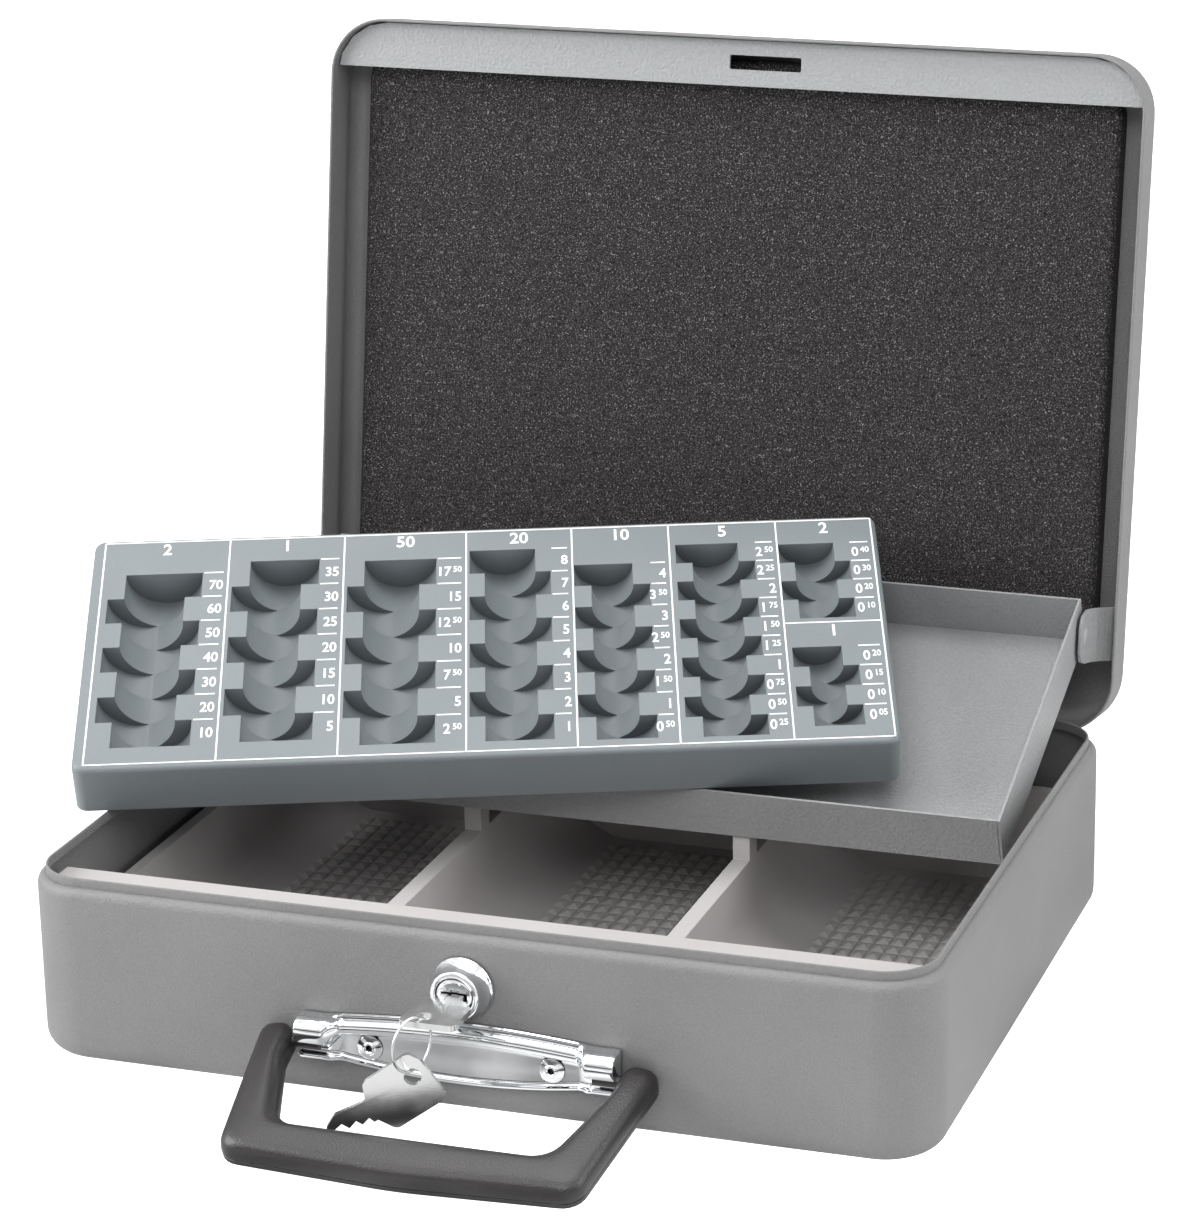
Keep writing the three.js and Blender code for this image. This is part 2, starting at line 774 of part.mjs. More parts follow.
function make_collar() {
  const bore = plug_radius + gap;
  const wall = -half_depth - gap;
  const outside = turned("y", lock_middle, [
    [bore, face_y],
    [collar_face_radius - collar_edge, face_y],
    [collar_face_radius, face_y + collar_edge],
    [collar_radius, wall - collar_edge],
    [collar_radius, wall],
    [neck_radius, wall],
    [neck_radius, wall + neck_length],
    [bore, wall + neck_length],
  ]);
  return outside;
}

function make_nut() {
  const points = [];
  for (let k = 0; k < 6; k += 1) {
    const angle = (Math.PI / 3) * k;
    points.push(
      new THREE.Vector2(lock_x + nut_size * Math.cos(angle), lock_z + nut_size * Math.sin(angle)),
    );
  }
  const bore = bar("y", lock_middle, neck_radius + gap, nut_face - margin, nut_face + 2 * nut_thickness);
  return cut(prism("y", nut_face, nut_face + nut_thickness, points), bore);
}

function make_plug() {
  const round = bar("y", lock_middle, plug_radius, plug_face, cam_front - gap);
  const tail = block(
    at(lock_x - plug_tail, cam_front - margin, lock_z - plug_tail),
    at(lock_x + plug_tail, cam_back + gap, lock_z + plug_tail),
  );
  const keyway = block(
    at(lock_x - keyway_width / 2, plug_face - margin, lock_z - blade_thickness / 2 - gap),
    at(lock_x + keyway_width / 2, plug_face + keyway_depth, lock_z + blade_thickness / 2 + gap),
  );
  return cut(join(round, tail), keyway);
}

// The cam at rest, arm to the right: drawn locked, arm up, and turned a quarter back.
function make_cam() {
  const outline = rounded([
    { x: -cam_hub, y: -cam_hub, round: cam_hub * 0.9 },
    { x: cam_offset + cam_arm / 2, y: -cam_hub, round: cam_hub * 0.9 },
    { x: cam_offset + cam_arm / 2, y: cam_reach, round: cam_hook },
    { x: cam_offset + cam_arm / 2 - cam_arm - cam_hook, y: cam_reach, round: cam_hook / 3 },
    { x: cam_offset + cam_arm / 2 - cam_arm - cam_hook * 2, y: cam_reach - cam_hook, round: 0 },
    { x: cam_offset - cam_arm / 2, y: cam_reach - cam_hook, round: 0 },
    { x: cam_offset - cam_arm / 2, y: cam_hub, round: 0 },
    { x: -cam_hub, y: cam_hub, round: cam_hub * 0.9 },
  ]).map((p) => new THREE.Vector2(lock_x + p.y, lock_z - p.x));
  const plate = prism("y", cam_front, cam_back, outline.reverse());
  const hole = plug_tail + gap;
  const window = block(
    at(lock_x - hole, cam_front - margin, lock_z - hole),
    at(lock_x + hole, cam_back + margin, lock_z + hole),
  );
  return cut(plate, window);
}

function make_cam_screw() {
  const low = cam_back + 2 * gap;
  return turned("y", lock_middle, [
    [0, low],
    [screw_head, low],
    [screw_head, low + screw_rise / 2],
    [screw_head * 0.7, low + screw_rise],
    [0, low + screw_rise],
  ], small_steps);
}

// Keys.
const hole_y = -half_depth - bow_hole_reach;

function make_key() {
  const start = -half_depth - bow_start;
  const end = -half_depth - bow_end;
  const outline = rounded([
    { x: lock_x - bow_half, y: end, round: bow_corner },
    { x: lock_x + bow_half, y: end, round: bow_corner },
    { x: lock_x + bow_half, y: start - bow_chamfer, round: bow_corner },
    { x: lock_x + bow_half - bow_chamfer, y: start, round: bow_corner },
    { x: lock_x - bow_half + bow_chamfer, y: start, round: bow_corner },
    { x: lock_x - bow_half, y: start - bow_chamfer, round: bow_corner },
  ]);
  const low = lock_z - blade_thickness / 2;
  const high = lock_z + blade_thickness / 2;
  const bow = prism("z", low, high, outline);
  const blade = block(
    at(lock_x - blade_width / 2, start - margin, low),
    at(lock_x + blade_width / 2, plug_face + keyway_depth - gap, high),
  );
  const hole = bar("z", at(bow_hole_x, hole_y, 0), bow_hole, low - margin, high + margin, small_steps);
  return cut(join(bow, blade), hole);
}

// Where the ring crosses the bow, and which way its plane lies.
const ring_angle = radians(ring_turn);
const ring_way = at(-Math.sin(ring_angle), -Math.cos(ring_angle), 0);
const ring_half_chord = Math.sqrt(ring_radius ** 2 - ring_drop ** 2);
const ring_middle = at(bow_hole_x, hole_y, lock_z - ring_drop).addScaledVector(ring_way, ring_half_chord);

function make_ring() {
  const geometry = new THREE.TorusGeometry(ring_radius, ring_wire, small_steps / 2, round_steps * 2);
  const across = new THREE.Vector3().crossVectors(ring_way, at(0, 0, 1));
  const matrix = new THREE.Matrix4().makeBasis(ring_way, at(0, 0, 1), across).setPosition(ring_middle);
  return solid(geometry, matrix);
}

function make_spare_key() {
  const outline = rounded(spare_outline.map(({ x, z, round }) => ({ x, y: z, round })));
  const half = blade_thickness / 2;
  const clockwise = THREE.ShapeUtils.isClockWise(outline);
  const plate = prism("y", -half, half, clockwise ? outline.reverse() : outline);
  const hole = bar("y", at(0, 0, 0), bow_hole, -half - margin, half + margin, small_steps);
  const hang = ring_middle.z - ring_radius + ring_wire + spare_play - bow_hole;
  const matrix = new THREE.Matrix4().makeRotationZ(radians(spare_turn));
  matrix.setPosition(ring_middle.x, ring_middle.y, hang);
  return placed(cut(plate, hole), matrix);
}

// Handle bracket.
const bracket_wall = -half_depth - gap;
const bracket_face = bracket_wall - bracket_out;
const pivot_y = -half_depth - handle_pivot_out;

function make_bracket() {
  const back = block(
    at(-bracket_half, bracket_wall - bracket_sheet, bracket_low),
    at(bracket_half, bracket_wall, bracket_high),
  );
  const roll_middle = at(0, bracket_wall - bracket_roll, bracket_high - bracket_roll);
  const roll = bar("x", roll_middle, bracket_roll, -bracket_half, bracket_half);
  const roll_bore = bar("x", roll_middle, bracket_roll - bracket_sheet, -bracket_half, bracket_half);
  const ledge = block(
    at(-bracket_half, bracket_face + bracket_lip, bracket_low),
    at(bracket_half, bracket_wall, bracket_low + bracket_sheet),
  );
  const lip_middle = at(0, bracket_face + bracket_lip, bracket_low + bracket_lip);
  const lip = bar("x", lip_middle, bracket_lip, -bracket_half, bracket_half, small_steps);
  const ends = [-1, 1].map((side) => {
    const span = [side * bracket_recess, side * bracket_half].sort((a, b) => a - b);
    const section = (inset, round) =>
      rounded([
        { x: bracket_wall - inset, y: bracket_low + inset, round: 0 },
        { x: bracket_wall - inset, y: bracket_high - inset, round: 0 },
        { x: bracket_face + inset, y: bracket_high - inset, round },
        { x: bracket_face + inset, y: bracket_low + inset, round },
      ].reverse());
    const shell = prism("x", span[0], span[1], section(0, bracket_round));
    const room = prism(
      "x",
      span[0] + bracket_sheet,
      span[1] - bracket_sheet,
      section(bracket_sheet, bracket_round - bracket_sheet),
    );
    const outer = side * bracket_half;
    const eye = bar(
      "x",
      at(0, pivot_y, handle_pivot_z),
      handle_pin + gap,
      outer - margin,
      outer + margin,
      small_steps,
    );
    return { shell, room, eye };
  });
  const holes = [-1, 1].map((side) =>
    bar(
      "y",
      at((side * rivet_spread) / 2, 0, rivet_z),
      rivet_radius + gap,
      bracket_wall - 2 * bracket_sheet,
      bracket_wall + margin,
      small_steps,
    ),
  );
  const body = join(back, roll, ledge, lip, ...ends.map((end) => end.shell));
  const hollows = ends.flatMap((end) => [end.room, end.eye]);
  return cut(body, roll_bore, ...hollows, ...holes);
}

function make_rivet(side) {
  const head = bracket_wall - bracket_sheet - gap;
  const tail = -half_depth + sheet + gap;
  return turned("y", at((side * rivet_spread) / 2, 0, rivet_z), [
    [rivet_bore, head - rivet_rise],
    [rivet_head * 0.6, head - rivet_rise],
    [rivet_head * 0.9, head - rivet_rise / 2],
    [rivet_head, head],
    [rivet_radius, head],
    [rivet_radius, tail],
    [rivet_head, tail],
    [rivet_head, tail + rivet_rise / 2],
    [0, tail + rivet_rise / 2],
    [0, head - rivet_rise + rivet_bore_depth],
    [rivet_bore, head - rivet_rise + rivet_bore_depth],
  ], small_steps);
}

// Handle, about its pivot, reaching towards -Y.
function make_handle() {
  const inner_top = handle_top_half - handle_arm;
  const grow = handle_bevel;
  const outline = rounded([
    { x: -handle_top_half + grow, y: handle_head - grow, round: 0.5 * grow },
    { x: -handle_foot_half + grow, y: -handle_corner_reach + grow, round: handle_corner - grow },
    { x: 0, y: -handle_reach + grow, round: 20 * handle_corner },
    { x: handle_foot_half - grow, y: -handle_corner_reach + grow, round: handle_corner - grow },
    { x: handle_top_half - grow, y: handle_head - grow, round: 0.5 * grow },
    { x: inner_top + grow, y: handle_head - grow, round: 0.5 * grow },
    { x: handle_straight_half + grow, y: -handle_straight, round: handle_corner },
    { x: handle_window_half + grow, y: -handle_window - grow, round: handle_fillet },
    { x: -handle_window_half - grow, y: -handle_window - grow, round: handle_fillet },
    { x: -handle_straight_half - grow, y: -handle_straight, round: handle_corner },
    { x: -inner_top - grow, y: handle_head - grow, round: 0.5 * grow },
  ]);
  const shape = new THREE.Shape(outline);
  const geometry = new THREE.ExtrudeGeometry(shape, {
    depth: handle_thickness - 2 * grow,
    bevelEnabled: true,
    bevelThickness: grow,
    bevelSize: grow,
    bevelSegments: edge_steps,
    curveSegments: edge_steps,
  });
  const matrix = new THREE.Matrix4().makeTranslation(0, 0, grow - handle_thickness / 2);
  const pins = [-1, 1].map((side) => {
    const start = side * (inner_top + margin);
    const end = side * (inner_top - handle_pin_length);
    return bar("x", at(0, 0, 0), handle_pin, Math.min(start, end), Math.max(start, end), small_steps);
  });
  return join(solid(geometry, matrix), ...pins);
}

// Assembly.
const cash_box = new THREE.Group();
cash_box.name = "cash_box";

const base = new THREE.Group();
base.add(piece("base_shell", make_base_shell(), steel));
base.add(piece("cash_insert", make_insert(), insert_plastic));
base.add(piece("lock_collar", make_collar(), bright));
base.add(piece("lock_nut", make_nut(), zinc));
base.add(piece("handle_bracket", make_bracket(), bright));
base.add(piece("bracket_rivet_left", make_rivet(-1), bright));
base.add(piece("bracket_rivet_right", make_rivet(1), bright));

const hinge_line = new THREE.Group();
hinge_line.position.set(0, half_depth, wall_top);
hinge_line.add(piece("base_leaf_left", make_leaf(hinge_places[0], 0, -1), steel));
hinge_line.add(piece("base_leaf_right", make_leaf(hinge_places[1], 0, -1), steel));
hinge_line.add(piece("hinge_pin_left", make_hinge_pin(hinge_places[0]), zinc));
hinge_line.add(piece("hinge_pin_right", make_hinge_pin(hinge_places[1]), zinc));

const lid = new THREE.Group();
lid.rotation.x = -radians(lid_open);
lid.add(piece("lid_shell", make_lid_shell(), steel));
lid.add(piece("strike_plate", make_strike_plate(), pale_steel));
lid.add(piece("foam_pad", make_foam_pad(), foam));
lid.add(piece("lid_leaf_left", make_leaf(hinge_places[0], 1, 1), steel));
lid.add(piece("lid_leaf_right", make_leaf(hinge_places[1], 1, 1), steel));
lid.add(piece("tray_tab_left", make_tab(-1), steel));
lid.add(piece("tray_tab_right", make_tab(1), steel));
lid.add(piece("tab_rivet_left", make_tab_rivet(-1), zinc));
lid.add(piece("tab_rivet_right", make_tab_rivet(1), zinc));
hinge_line.add(lid);

const note = new THREE.Group();
note.position.set(0, -pivot_reach, -pivot_drop);
note.rotation.x = radians(lid_open + note_tilt);
note.add(piece("note_tray", make_note_tray(), pale_steel));
lid.add(note);
cash_box.add(base, hinge_line);
cash_box.updateMatrixWorld(true);

const coin_tray = piece("coin_tray", make_coin_tray(), tray_plastic);
coin_tray.applyMatrix4(coin_tray_pose(note.matrixWorld));
cash_box.add(coin_tray);

const lock = new THREE.Group();
lock.add(piece("lock_plug", make_plug(), bright));
lock.add(piece("lock_cam", make_cam(), zinc));
lock.add(piece("cam_screw", make_cam_screw(), zinc));
lock.add(piece("key_in_lock", make_key(), bright));
lock.add(piece("key_ring", make_ring(), bright));
lock.add(piece("spare_key", make_spare_key(), bright));
cash_box.add(lock);

const handle_low = handle_pivot_z - gap / 2;
const handle_half = handle_thickness / 2;
const handle_rest = Math.asin((handle_low - handle_half) / handle_reach);
const handle = piece("handle_grip", make_handle(), grip_plastic);
handle.position.set(0, pivot_y, handle_pivot_z);
handle.rotation.x = handle_rest;
cash_box.add(handle);

export default cash_box;
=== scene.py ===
"""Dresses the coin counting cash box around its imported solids: finer shells, coin tray with
its printed scale, foam, textured insert, chrome lock and bracket, keys and moulded handle."""

import json
from contextlib import contextmanager
from itertools import product
from math import acos, asin, copysign, cos, pi, radians, sin, sqrt, tan

import bmesh
import bpy
from mathutils import Matrix, Vector, noise

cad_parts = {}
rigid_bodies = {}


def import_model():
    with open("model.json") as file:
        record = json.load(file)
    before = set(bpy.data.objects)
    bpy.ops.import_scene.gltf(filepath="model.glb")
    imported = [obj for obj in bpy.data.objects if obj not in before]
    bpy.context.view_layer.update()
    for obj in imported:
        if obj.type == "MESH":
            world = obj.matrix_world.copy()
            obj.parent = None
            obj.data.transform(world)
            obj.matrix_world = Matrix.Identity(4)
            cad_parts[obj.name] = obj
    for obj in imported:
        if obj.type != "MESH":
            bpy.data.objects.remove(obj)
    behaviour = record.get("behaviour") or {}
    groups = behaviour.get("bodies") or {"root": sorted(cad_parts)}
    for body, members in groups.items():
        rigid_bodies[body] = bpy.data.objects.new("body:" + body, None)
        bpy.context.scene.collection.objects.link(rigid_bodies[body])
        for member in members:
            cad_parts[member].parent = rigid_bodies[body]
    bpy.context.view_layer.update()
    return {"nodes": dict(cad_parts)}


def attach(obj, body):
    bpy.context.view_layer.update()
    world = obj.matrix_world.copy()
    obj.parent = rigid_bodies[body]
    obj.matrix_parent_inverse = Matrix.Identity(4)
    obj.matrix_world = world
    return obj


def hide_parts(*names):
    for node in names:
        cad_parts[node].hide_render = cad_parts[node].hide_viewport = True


bl_info = {
    "name": "Coin counting cash box",
    "version": (1, 0, 0),
    "blender": (4, 5, 0),
    "location": "3D View > Sidebar > Cash box",
    "description": "Builds the looks of a cash box with note tray and coin counting tray",
    "category": "Add Mesh",
}

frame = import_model()

MM = 0.001
# Points nearer than this, in metres, are one point.
WELD = 2e-6

# The box, in millimetres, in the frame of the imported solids.
HALF_WIDTH = 150.0
HALF_DEPTH = 118.0
CORNER = 20.0
SHEET = 1.0
GAP = 0.3
WALL_TOP = 56.5
RIM_TOP = 63.0
RIM_INSET = 2.8
RIM_LIP = 3.0
FOOT_ROUND = 7.5
LID_DEPTH = 25.0
LID_ROUND = 6.0
SHOULDER_RISE = RIM_TOP - RIM_LIP - WALL_TOP
LID_EDGE = SHOULDER_RISE * sin(acos(1 - (SHEET + GAP) / RIM_INSET)) + GAP
LID_OPEN = 99.15
HINGES = (-85.0, 85.0)
NOTCH_HALF = 26.8
NOTCH_LOW = 53.1
HINGE_CLEAR = 4.2

# Foam lining: where it starts, its face, its soft edge, its corners and its distance to the side.
FOAM_NEAR = 26.0
FOAM_FACE = 14.0
FOAM_EDGE = 2.2
FOAM_CORNER = 14.0
FOAM_SIDE = 9.5
FOAM_FRONT = 7.5

# Note tray: its pivot in the closed lid's frame, and its tilt when the lid stands open.
NOTE_TILT = 19.63
PIVOT_REACH = 35.74
PIVOT_DROP = 2.69
PIVOT_INSET = 5.35
PIVOT_HEIGHT = 6.0
NOTE_WIDTH = 277.0
NOTE_DEPTH = 120.5
NOTE_HEIGHT = 18.6
NOTE_SHEET = 0.8
NOTE_SEAM = 0.14
NOTE_FLOOR = 2.2
TAB_HALF_SHEET = 0.55
TAB_HALF_WIDTH = 9.5
TAB_END = 6.0

# Fields of pyramids: each bay's left side, pyramids across and along, and where they start.
BAY_SIDES = (-141.0, -45.0, 51.0)
STUD_COUNTS = (13, 27)
STUD_START = 15.5
STUD_MIDDLE_Y = 8.0
STUD_FLOOR = 3.98

# Coin tray, from the front left corner of its underside.
TRAY = Vector((271.7, 117.85, 18.8))
TRAY_CORNER = 4.0
TRAY_EDGE = 2.2
TRAY_YAW = 20.35
TRAY_OVERHANG = 9.9
TRAY_RIM_Y = -59.5
TRAY_UNDER = 3.4
TRAY_WALL = 3.0
TRAY_RIB = 2.0
COIN_PLAY = 0.4
ROW_PLAY = 1.6
COINS_PER_ROW = 5
# Value, diameter, thickness, rows, front of the column, middle of the column, stagger.
COLUMNS = (
    (2.0, 25.75, 2.2, 7, 9.9, 22.4, 5.6),
    (1.0, 23.25, 2.33, 7, 10.6, 63.3, 6.0),
    (0.5, 24.25, 2.38, 7, 7.0, 103.2, 5.8),
    (0.2, 22.25, 2.14, 8, 6.6, 143.8, 5.2),
    (0.1, 19.75, 1.93, 8, 5.4, 178.8, 5.8),
    (0.05, 21.25, 1.67, 10, 5.0, 214.8, 5.6),
    (0.02, 18.75, 1.67, 4, 63.0, 249.1, 5.2),
    (0.01, 16.25, 1.67, 4, 8.2, 249.4, 5.2),
)
BORDER = (4.0, 2.0, 269.8, 115.5)
COLUMN_LINES = (47.0, 86.6, 128.7, 165.3, 199.0, 236.5)
DIVIDER_V = 60.7
INK = 0.04
TICK_WIDTH = 0.6
DIGIT_SHARE = 0.72

# Lock, keys and bracket.
LOCK = Vector((1.0, -118.0, 43.0))
LOCK_BORE = 8.3
COLLAR_REACH = 7.5
HOLE = Vector((-1.5, -143.5, 43.0))
RING_RADIUS = 8.5
RING_WIRE = 0.55
RING_SLACK = 0.08
RING_DROP = 6.2
RING_TURN = 20.5
# The spare key hangs by the middle of its hole, turned and leaning, in degrees.
SPARE_HOLE = Vector((14.8, 0.0, 11.0))
SPARE_TURN = 17.0
SPARE_LEAN = -29.0
SPARE_DROP = 2.8
PIVOT = Vector((0.0, -123.6, 20.5))
RIVET_X = 30.0
RIVET_Z = 19.6
RIVET_BORE = 2.5
HANDLE_REACH = 55.6
HANDLE_THICK = 10.0
GRIP_LENGTH = 160.0
GRIP_END = 4.2
SEAM = -2.0

# The photograph's camera: picture size, focal length and centre in pixels, the rest in millimetres.
PICTURE = (1200, 1229)
FOCAL = 3995.397
CENTRE = (803.334, 629.41)
CAMERA_ANGLES = (16.844, 18.471, -0.197)
CAMERA_PLACE = (71.548, 38.485, 1321.15)
CAMERA_HEIGHT = 80

# Studio: lamp name, place, size and power, and the even glow around them.
AMBIENT = 0.28
LAMP_AIM = Vector((0, 0, 0.1))
LAMPS = (
    ("left_lamp", (-1.7, -0.8, 1.0), (1.4, 1.6), 44),
    ("right_lamp", (1.8, 0.25, 0.9), (1.2, 1.6), 19),
    ("top_lamp", (0.0, 0.1, 2.0), (1.8, 1.4), 25),
    ("front_lamp", (0.4, -1.6, 1.5), (1.4, 0.9), 17),
)


def linear(code):
    """The linear colour of an sRGB hex code."""
    channels = [int(code[i : i + 2], 16) / 255 for i in (1, 3, 5)]
    return [c / 12.92 if c <= 0.04045 else ((c + 0.055) / 1.055) ** 2.4 for c in channels]


class CashBoxColours(bpy.types.PropertyGroup):
    """Colours of the box's own finishes."""

    body: bpy.props.FloatVectorProperty(
        name="Body coat", description="Powder coat of the base and the lid", subtype="COLOR",
        default=linear("#7a7a7a"),
    )
    tray: bpy.props.FloatVectorProperty(
        name="Note tray paint",
        description="Smooth paint of the note tray, its tabs and the strike plate", subtype="COLOR",
        default=linear("#929394"),
    )
    coins: bpy.props.FloatVectorProperty(
        name="Coin tray", description="Moulded plastic of the coin tray", subtype="COLOR",
        default=linear("#787f82"),
    )
    insert: bpy.props.FloatVectorProperty(
        name="Insert", description="Moulded plastic of the insert", subtype="COLOR",
        default=linear("#b5b2b1"),
    )
    grip: bpy.props.FloatVectorProperty(
        name="Handle", description="Grained plastic of the handle", subtype="COLOR",
        default=linear("#1e1b1d"),
    )


class CashBoxSizes(bpy.types.PropertyGroup):
    """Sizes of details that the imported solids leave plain."""

    line: bpy.props.FloatProperty(
        name="Printed line", description="Width of the printed lines on the coin tray", default=0.55 * MM,
        unit="LENGTH",
    )
    digit: bpy.props.FloatProperty(
        name="Digit height", description="Height of the printed numbers beside the channels",
        default=4.9 * MM, unit="LENGTH",
    )
    stud: bpy.props.FloatProperty(
        name="Stud pitch", description="Distance across between the pyramids on the insert's floor",
        default=5.3 * MM, unit="LENGTH",
    )
    stud_row: bpy.props.FloatProperty(
        name="Stud row", description="Distance between the rows of pyramids", default=6.9 * MM,
        unit="LENGTH",
    )
    stud_height: bpy.props.FloatProperty(
        name="Stud height", description="Height of the pyramids on the insert's floor", default=1.0 * MM,
        unit="LENGTH",
    )


def colours():
    return bpy.context.scene.cash_box_colours


def sizes():
    return bpy.context.scene.cash_box_sizes


# Placing matrices, all in millimetres.
def lid_matrix():
    """From the closed lid's frame, hinge line at the origin, to the open lid."""
    turn = Matrix.Rotation(-radians(LID_OPEN), 4, "X")
    return Matrix.Translation((0, HALF_DEPTH, WALL_TOP)) @ turn


def note_matrix():
    """From the note tray's pivot to the box."""
    turn = Matrix.Rotation(radians(LID_OPEN + NOTE_TILT), 4, "X")
    return lid_matrix() @ Matrix.Translation((0, -PIVOT_REACH, -PIVOT_DROP)) @ turn


def coin_matrix():
    """The coin tray lies on the left rim and on the note tray's front and rear walls."""
    note = note_matrix()
    top = NOTE_HEIGHT - PIVOT_HEIGHT
    front_top = note @ Vector((0, PIVOT_INSET - NOTE_DEPTH + NOTE_SHEET / 2, top))
    rear_top = note @ Vector((0, PIVOT_INSET, top))
    yaw = radians(TRAY_YAW)
    on_rim = Vector((-(HALF_WIDTH - RIM_INSET - SHEET / 2), TRAY_RIM_Y, RIM_TOP + GAP))
    run = (front_top.y - on_rim.y) / sin(yaw)
    on_front = Vector((on_rim.x + run * cos(yaw), front_top.y, front_top.z + GAP))
    along = (on_front - on_rim).normalized()
    left = on_rim - along * TRAY_OVERHANG
    right = left + along * TRAY.x
    level = Vector((-sin(yaw), cos(yaw), 0))
    lean = along.cross(level)
    rise = (rear_top.z + GAP - right.z) / lean.z
    reach = (rear_top.y - right.y - rise * lean.y) / level.y
    back = (level * reach + lean * rise).normalized()
    up = along.cross(back)
    return Matrix.Translation(left) @ Matrix((along, back, up)).transposed().to_4x4()


def handle_matrix():
    """From the handle's pivot, reaching towards -Y, to its rest on the table."""
    low = PIVOT.z - GAP / 2 - HANDLE_THICK / 2
    return Matrix.Translation(PIVOT) @ Matrix.Rotation(asin(low / HANDLE_REACH), 4, "X")


# Materials.
def add_node(tree, kind, inputs=None, **settings):
    """Adds a node with its settings; an input is a value or a socket to link."""
    made = tree.nodes.new(kind)
    for key, value in settings.items():
        setattr(made, key, value)
    for key, value in (inputs or {}).items():
        socket = made.inputs[key]
        if isinstance(value, bpy.types.NodeSocket):
            tree.links.new(value, socket)
        else:
            socket.default_value = value
    return made


def start_material(name):
    """A new node material: the material, its tree, its shader and its object coordinates."""
    made = bpy.data.materials.new(name)
    made.use_nodes = True
    tree = made.node_tree
    shader = tree.nodes["Principled BSDF"]
    place = add_node(tree, "ShaderNodeTexCoord").outputs["Object"]
    return made, tree, shader, place


def cloudy(tree, place, scale, detail):
    """A noise field, its scale in cells per metre."""
    inputs = {"Vector": place, "Scale": scale, "Detail": detail}
    return add_node(tree, "ShaderNodeTexNoise", inputs).outputs["Fac"]


def maths(tree, operation, *terms):
    """The result of an operation on its terms."""
    made = add_node(tree, "ShaderNodeMath", dict(enumerate(terms)), operation=operation)
    return made.outputs["Value"]


def ranged(tree, value, low, high, first, last):
    """A value carried over from one range to another."""
    labels = ("Value", "From Min", "From Max", "To Min", "To Max")
    inputs = dict(zip(labels, (value, low, high, first, last)))
    return add_node(tree, "ShaderNodeMapRange", inputs).outputs["Result"]


def shade_colour(tree, shader, factor, dark, light, low, high):
    """Drives the base colour between two colours by a factor."""
    ramp = add_node(tree, "ShaderNodeValToRGB", {"Fac": factor})
    for stop, position, colour in zip(ramp.color_ramp.elements, (low, high), (dark, light)):
        stop.position = position
        stop.color = (*colour, 1)
    tree.links.new(ramp.outputs["Color"], shader.inputs["Base Color"])
    return ramp


def scaled(colour, factor):
    return [min(channel * factor, 1) for channel in colour]


def vary_colour(tree, shader, factor, colour, spread, low, high):
    """Lets the base colour wander a little either side of a colour."""
    dark, light = scaled(colour, 1 - spread), scaled(colour, 1 + spread)
    shade_colour(tree, shader, factor, dark, light, low, high)


def uneven(tree, shader, height, strength, distance, normal=None, invert=False):
    """Bumps the shader by a height field, on top of an earlier normal; gives the normal."""
    inputs = {"Height": height, "Strength": strength, "Distance": distance}
    if normal is not None:
        inputs["Normal"] = normal
    bump = add_node(tree, "ShaderNodeBump", inputs, invert=invert)
    tree.links.new(bump.outputs["Normal"], shader.inputs["Normal"])
    return bump.outputs["Normal"]


def darken_recesses(tree, shader, distance, low, high, share):
    """Paints shade into the base colour: scales it down to a share where little open space lies around.
    """
    near = add_node(tree, "ShaderNodeAmbientOcclusion", {"Distance": distance}, samples=8)
    depth = ranged(tree, near.outputs["AO"], low, high, share, 1.0)
    open_colour = shader.inputs["Base Color"].links[0].from_socket
    inputs = {0: open_colour, "Scale": depth}
    deep = add_node(tree, "ShaderNodeVectorMath", inputs, operation="SCALE")
    tree.links.new(deep.outputs["Vector"], shader.inputs["Base Color"])


def mottled(tree, shader, place, grain, broad, detail, colour, spread):
    """Colours by a fine and a broad noise together; gives the fine one for the bumps."""
    fine = cloudy(tree, place, grain, 2)
    both = maths(tree, "ADD", fine, cloudy(tree, place, broad, detail))
    vary_colour(tree, shader, maths(tree, "MULTIPLY", both, 0.5), colour, spread, 0.36, 0.64)
    return fine


def powder_coat():
    """Polyester powder coat on sheet steel: baked, matt, with a fine even grain."""
    made, tree, shader, place = start_material("powder_coat_grey")
    # The real grain is about 0.3 mm; drawn at 0.6 mm so that the render shows it.
    grain = mottled(tree, shader, place, 1600, 18, 3, colours().body, 0.1)
    uneven(tree, shader, grain, 0.8, 0.0003)
    shader.inputs["Roughness"].default_value = 0.5
    return made


def satin_paint(name, colour, grain_size=1.1):
    """Satin enamel on thin sheet: smooth, with the soft ripple of sprayed paint."""
    made, tree, shader, place = start_material(name)
    ripple = cloudy(tree, place, 1 / (grain_size * MM), 2)
    vary_colour(tree, shader, ripple, colour, 0.05, 0.35, 0.65)
    uneven(tree, shader, ripple, 0.9, 0.0004)
    shader.inputs["Roughness"].default_value = 0.42
    return made


def moulded_plastic(name, colour, rough, bevel, shade=1.0):
    """Polystyrene moulded in a spark eroded mould: matt skin, softly rounded edges."""
    made, tree, shader, place = start_material(name)
    # A mould's texture is about 0.2 mm; drawn at 0.5 mm so that the render shows it.
    skin = mottled(tree, shader, place, 2000, 25, 2, colour, 0.06)
    if shade < 1:
        # Painted shade: the base colour is darkened in the coin channels and other recesses, where shade
        # gathers.
        darken_recesses(tree, shader, 0.012, 0.25, 0.85, shade)
    edge = add_node(tree, "ShaderNodeBevel", {"Radius": bevel}, samples=4)
    uneven(tree, shader, skin, 0.25, 0.00006, edge.outputs["Normal"])
    shader.inputs["Roughness"].default_value = rough
    shader.inputs["IOR"].default_value = 1.49
    return made


def printed_ink():
    """Screen printed white ink: opaque and matt, a little uneven."""
    made, tree, shader, place = start_material("white_printing_ink")
    film = cloudy(tree, place, 900, 2)
    shade_colour(tree, shader, film, linear("#eef1f1"), linear("#ffffff"), 0.4, 0.6)
    shader.inputs["Roughness"].default_value = 0.55
    return made


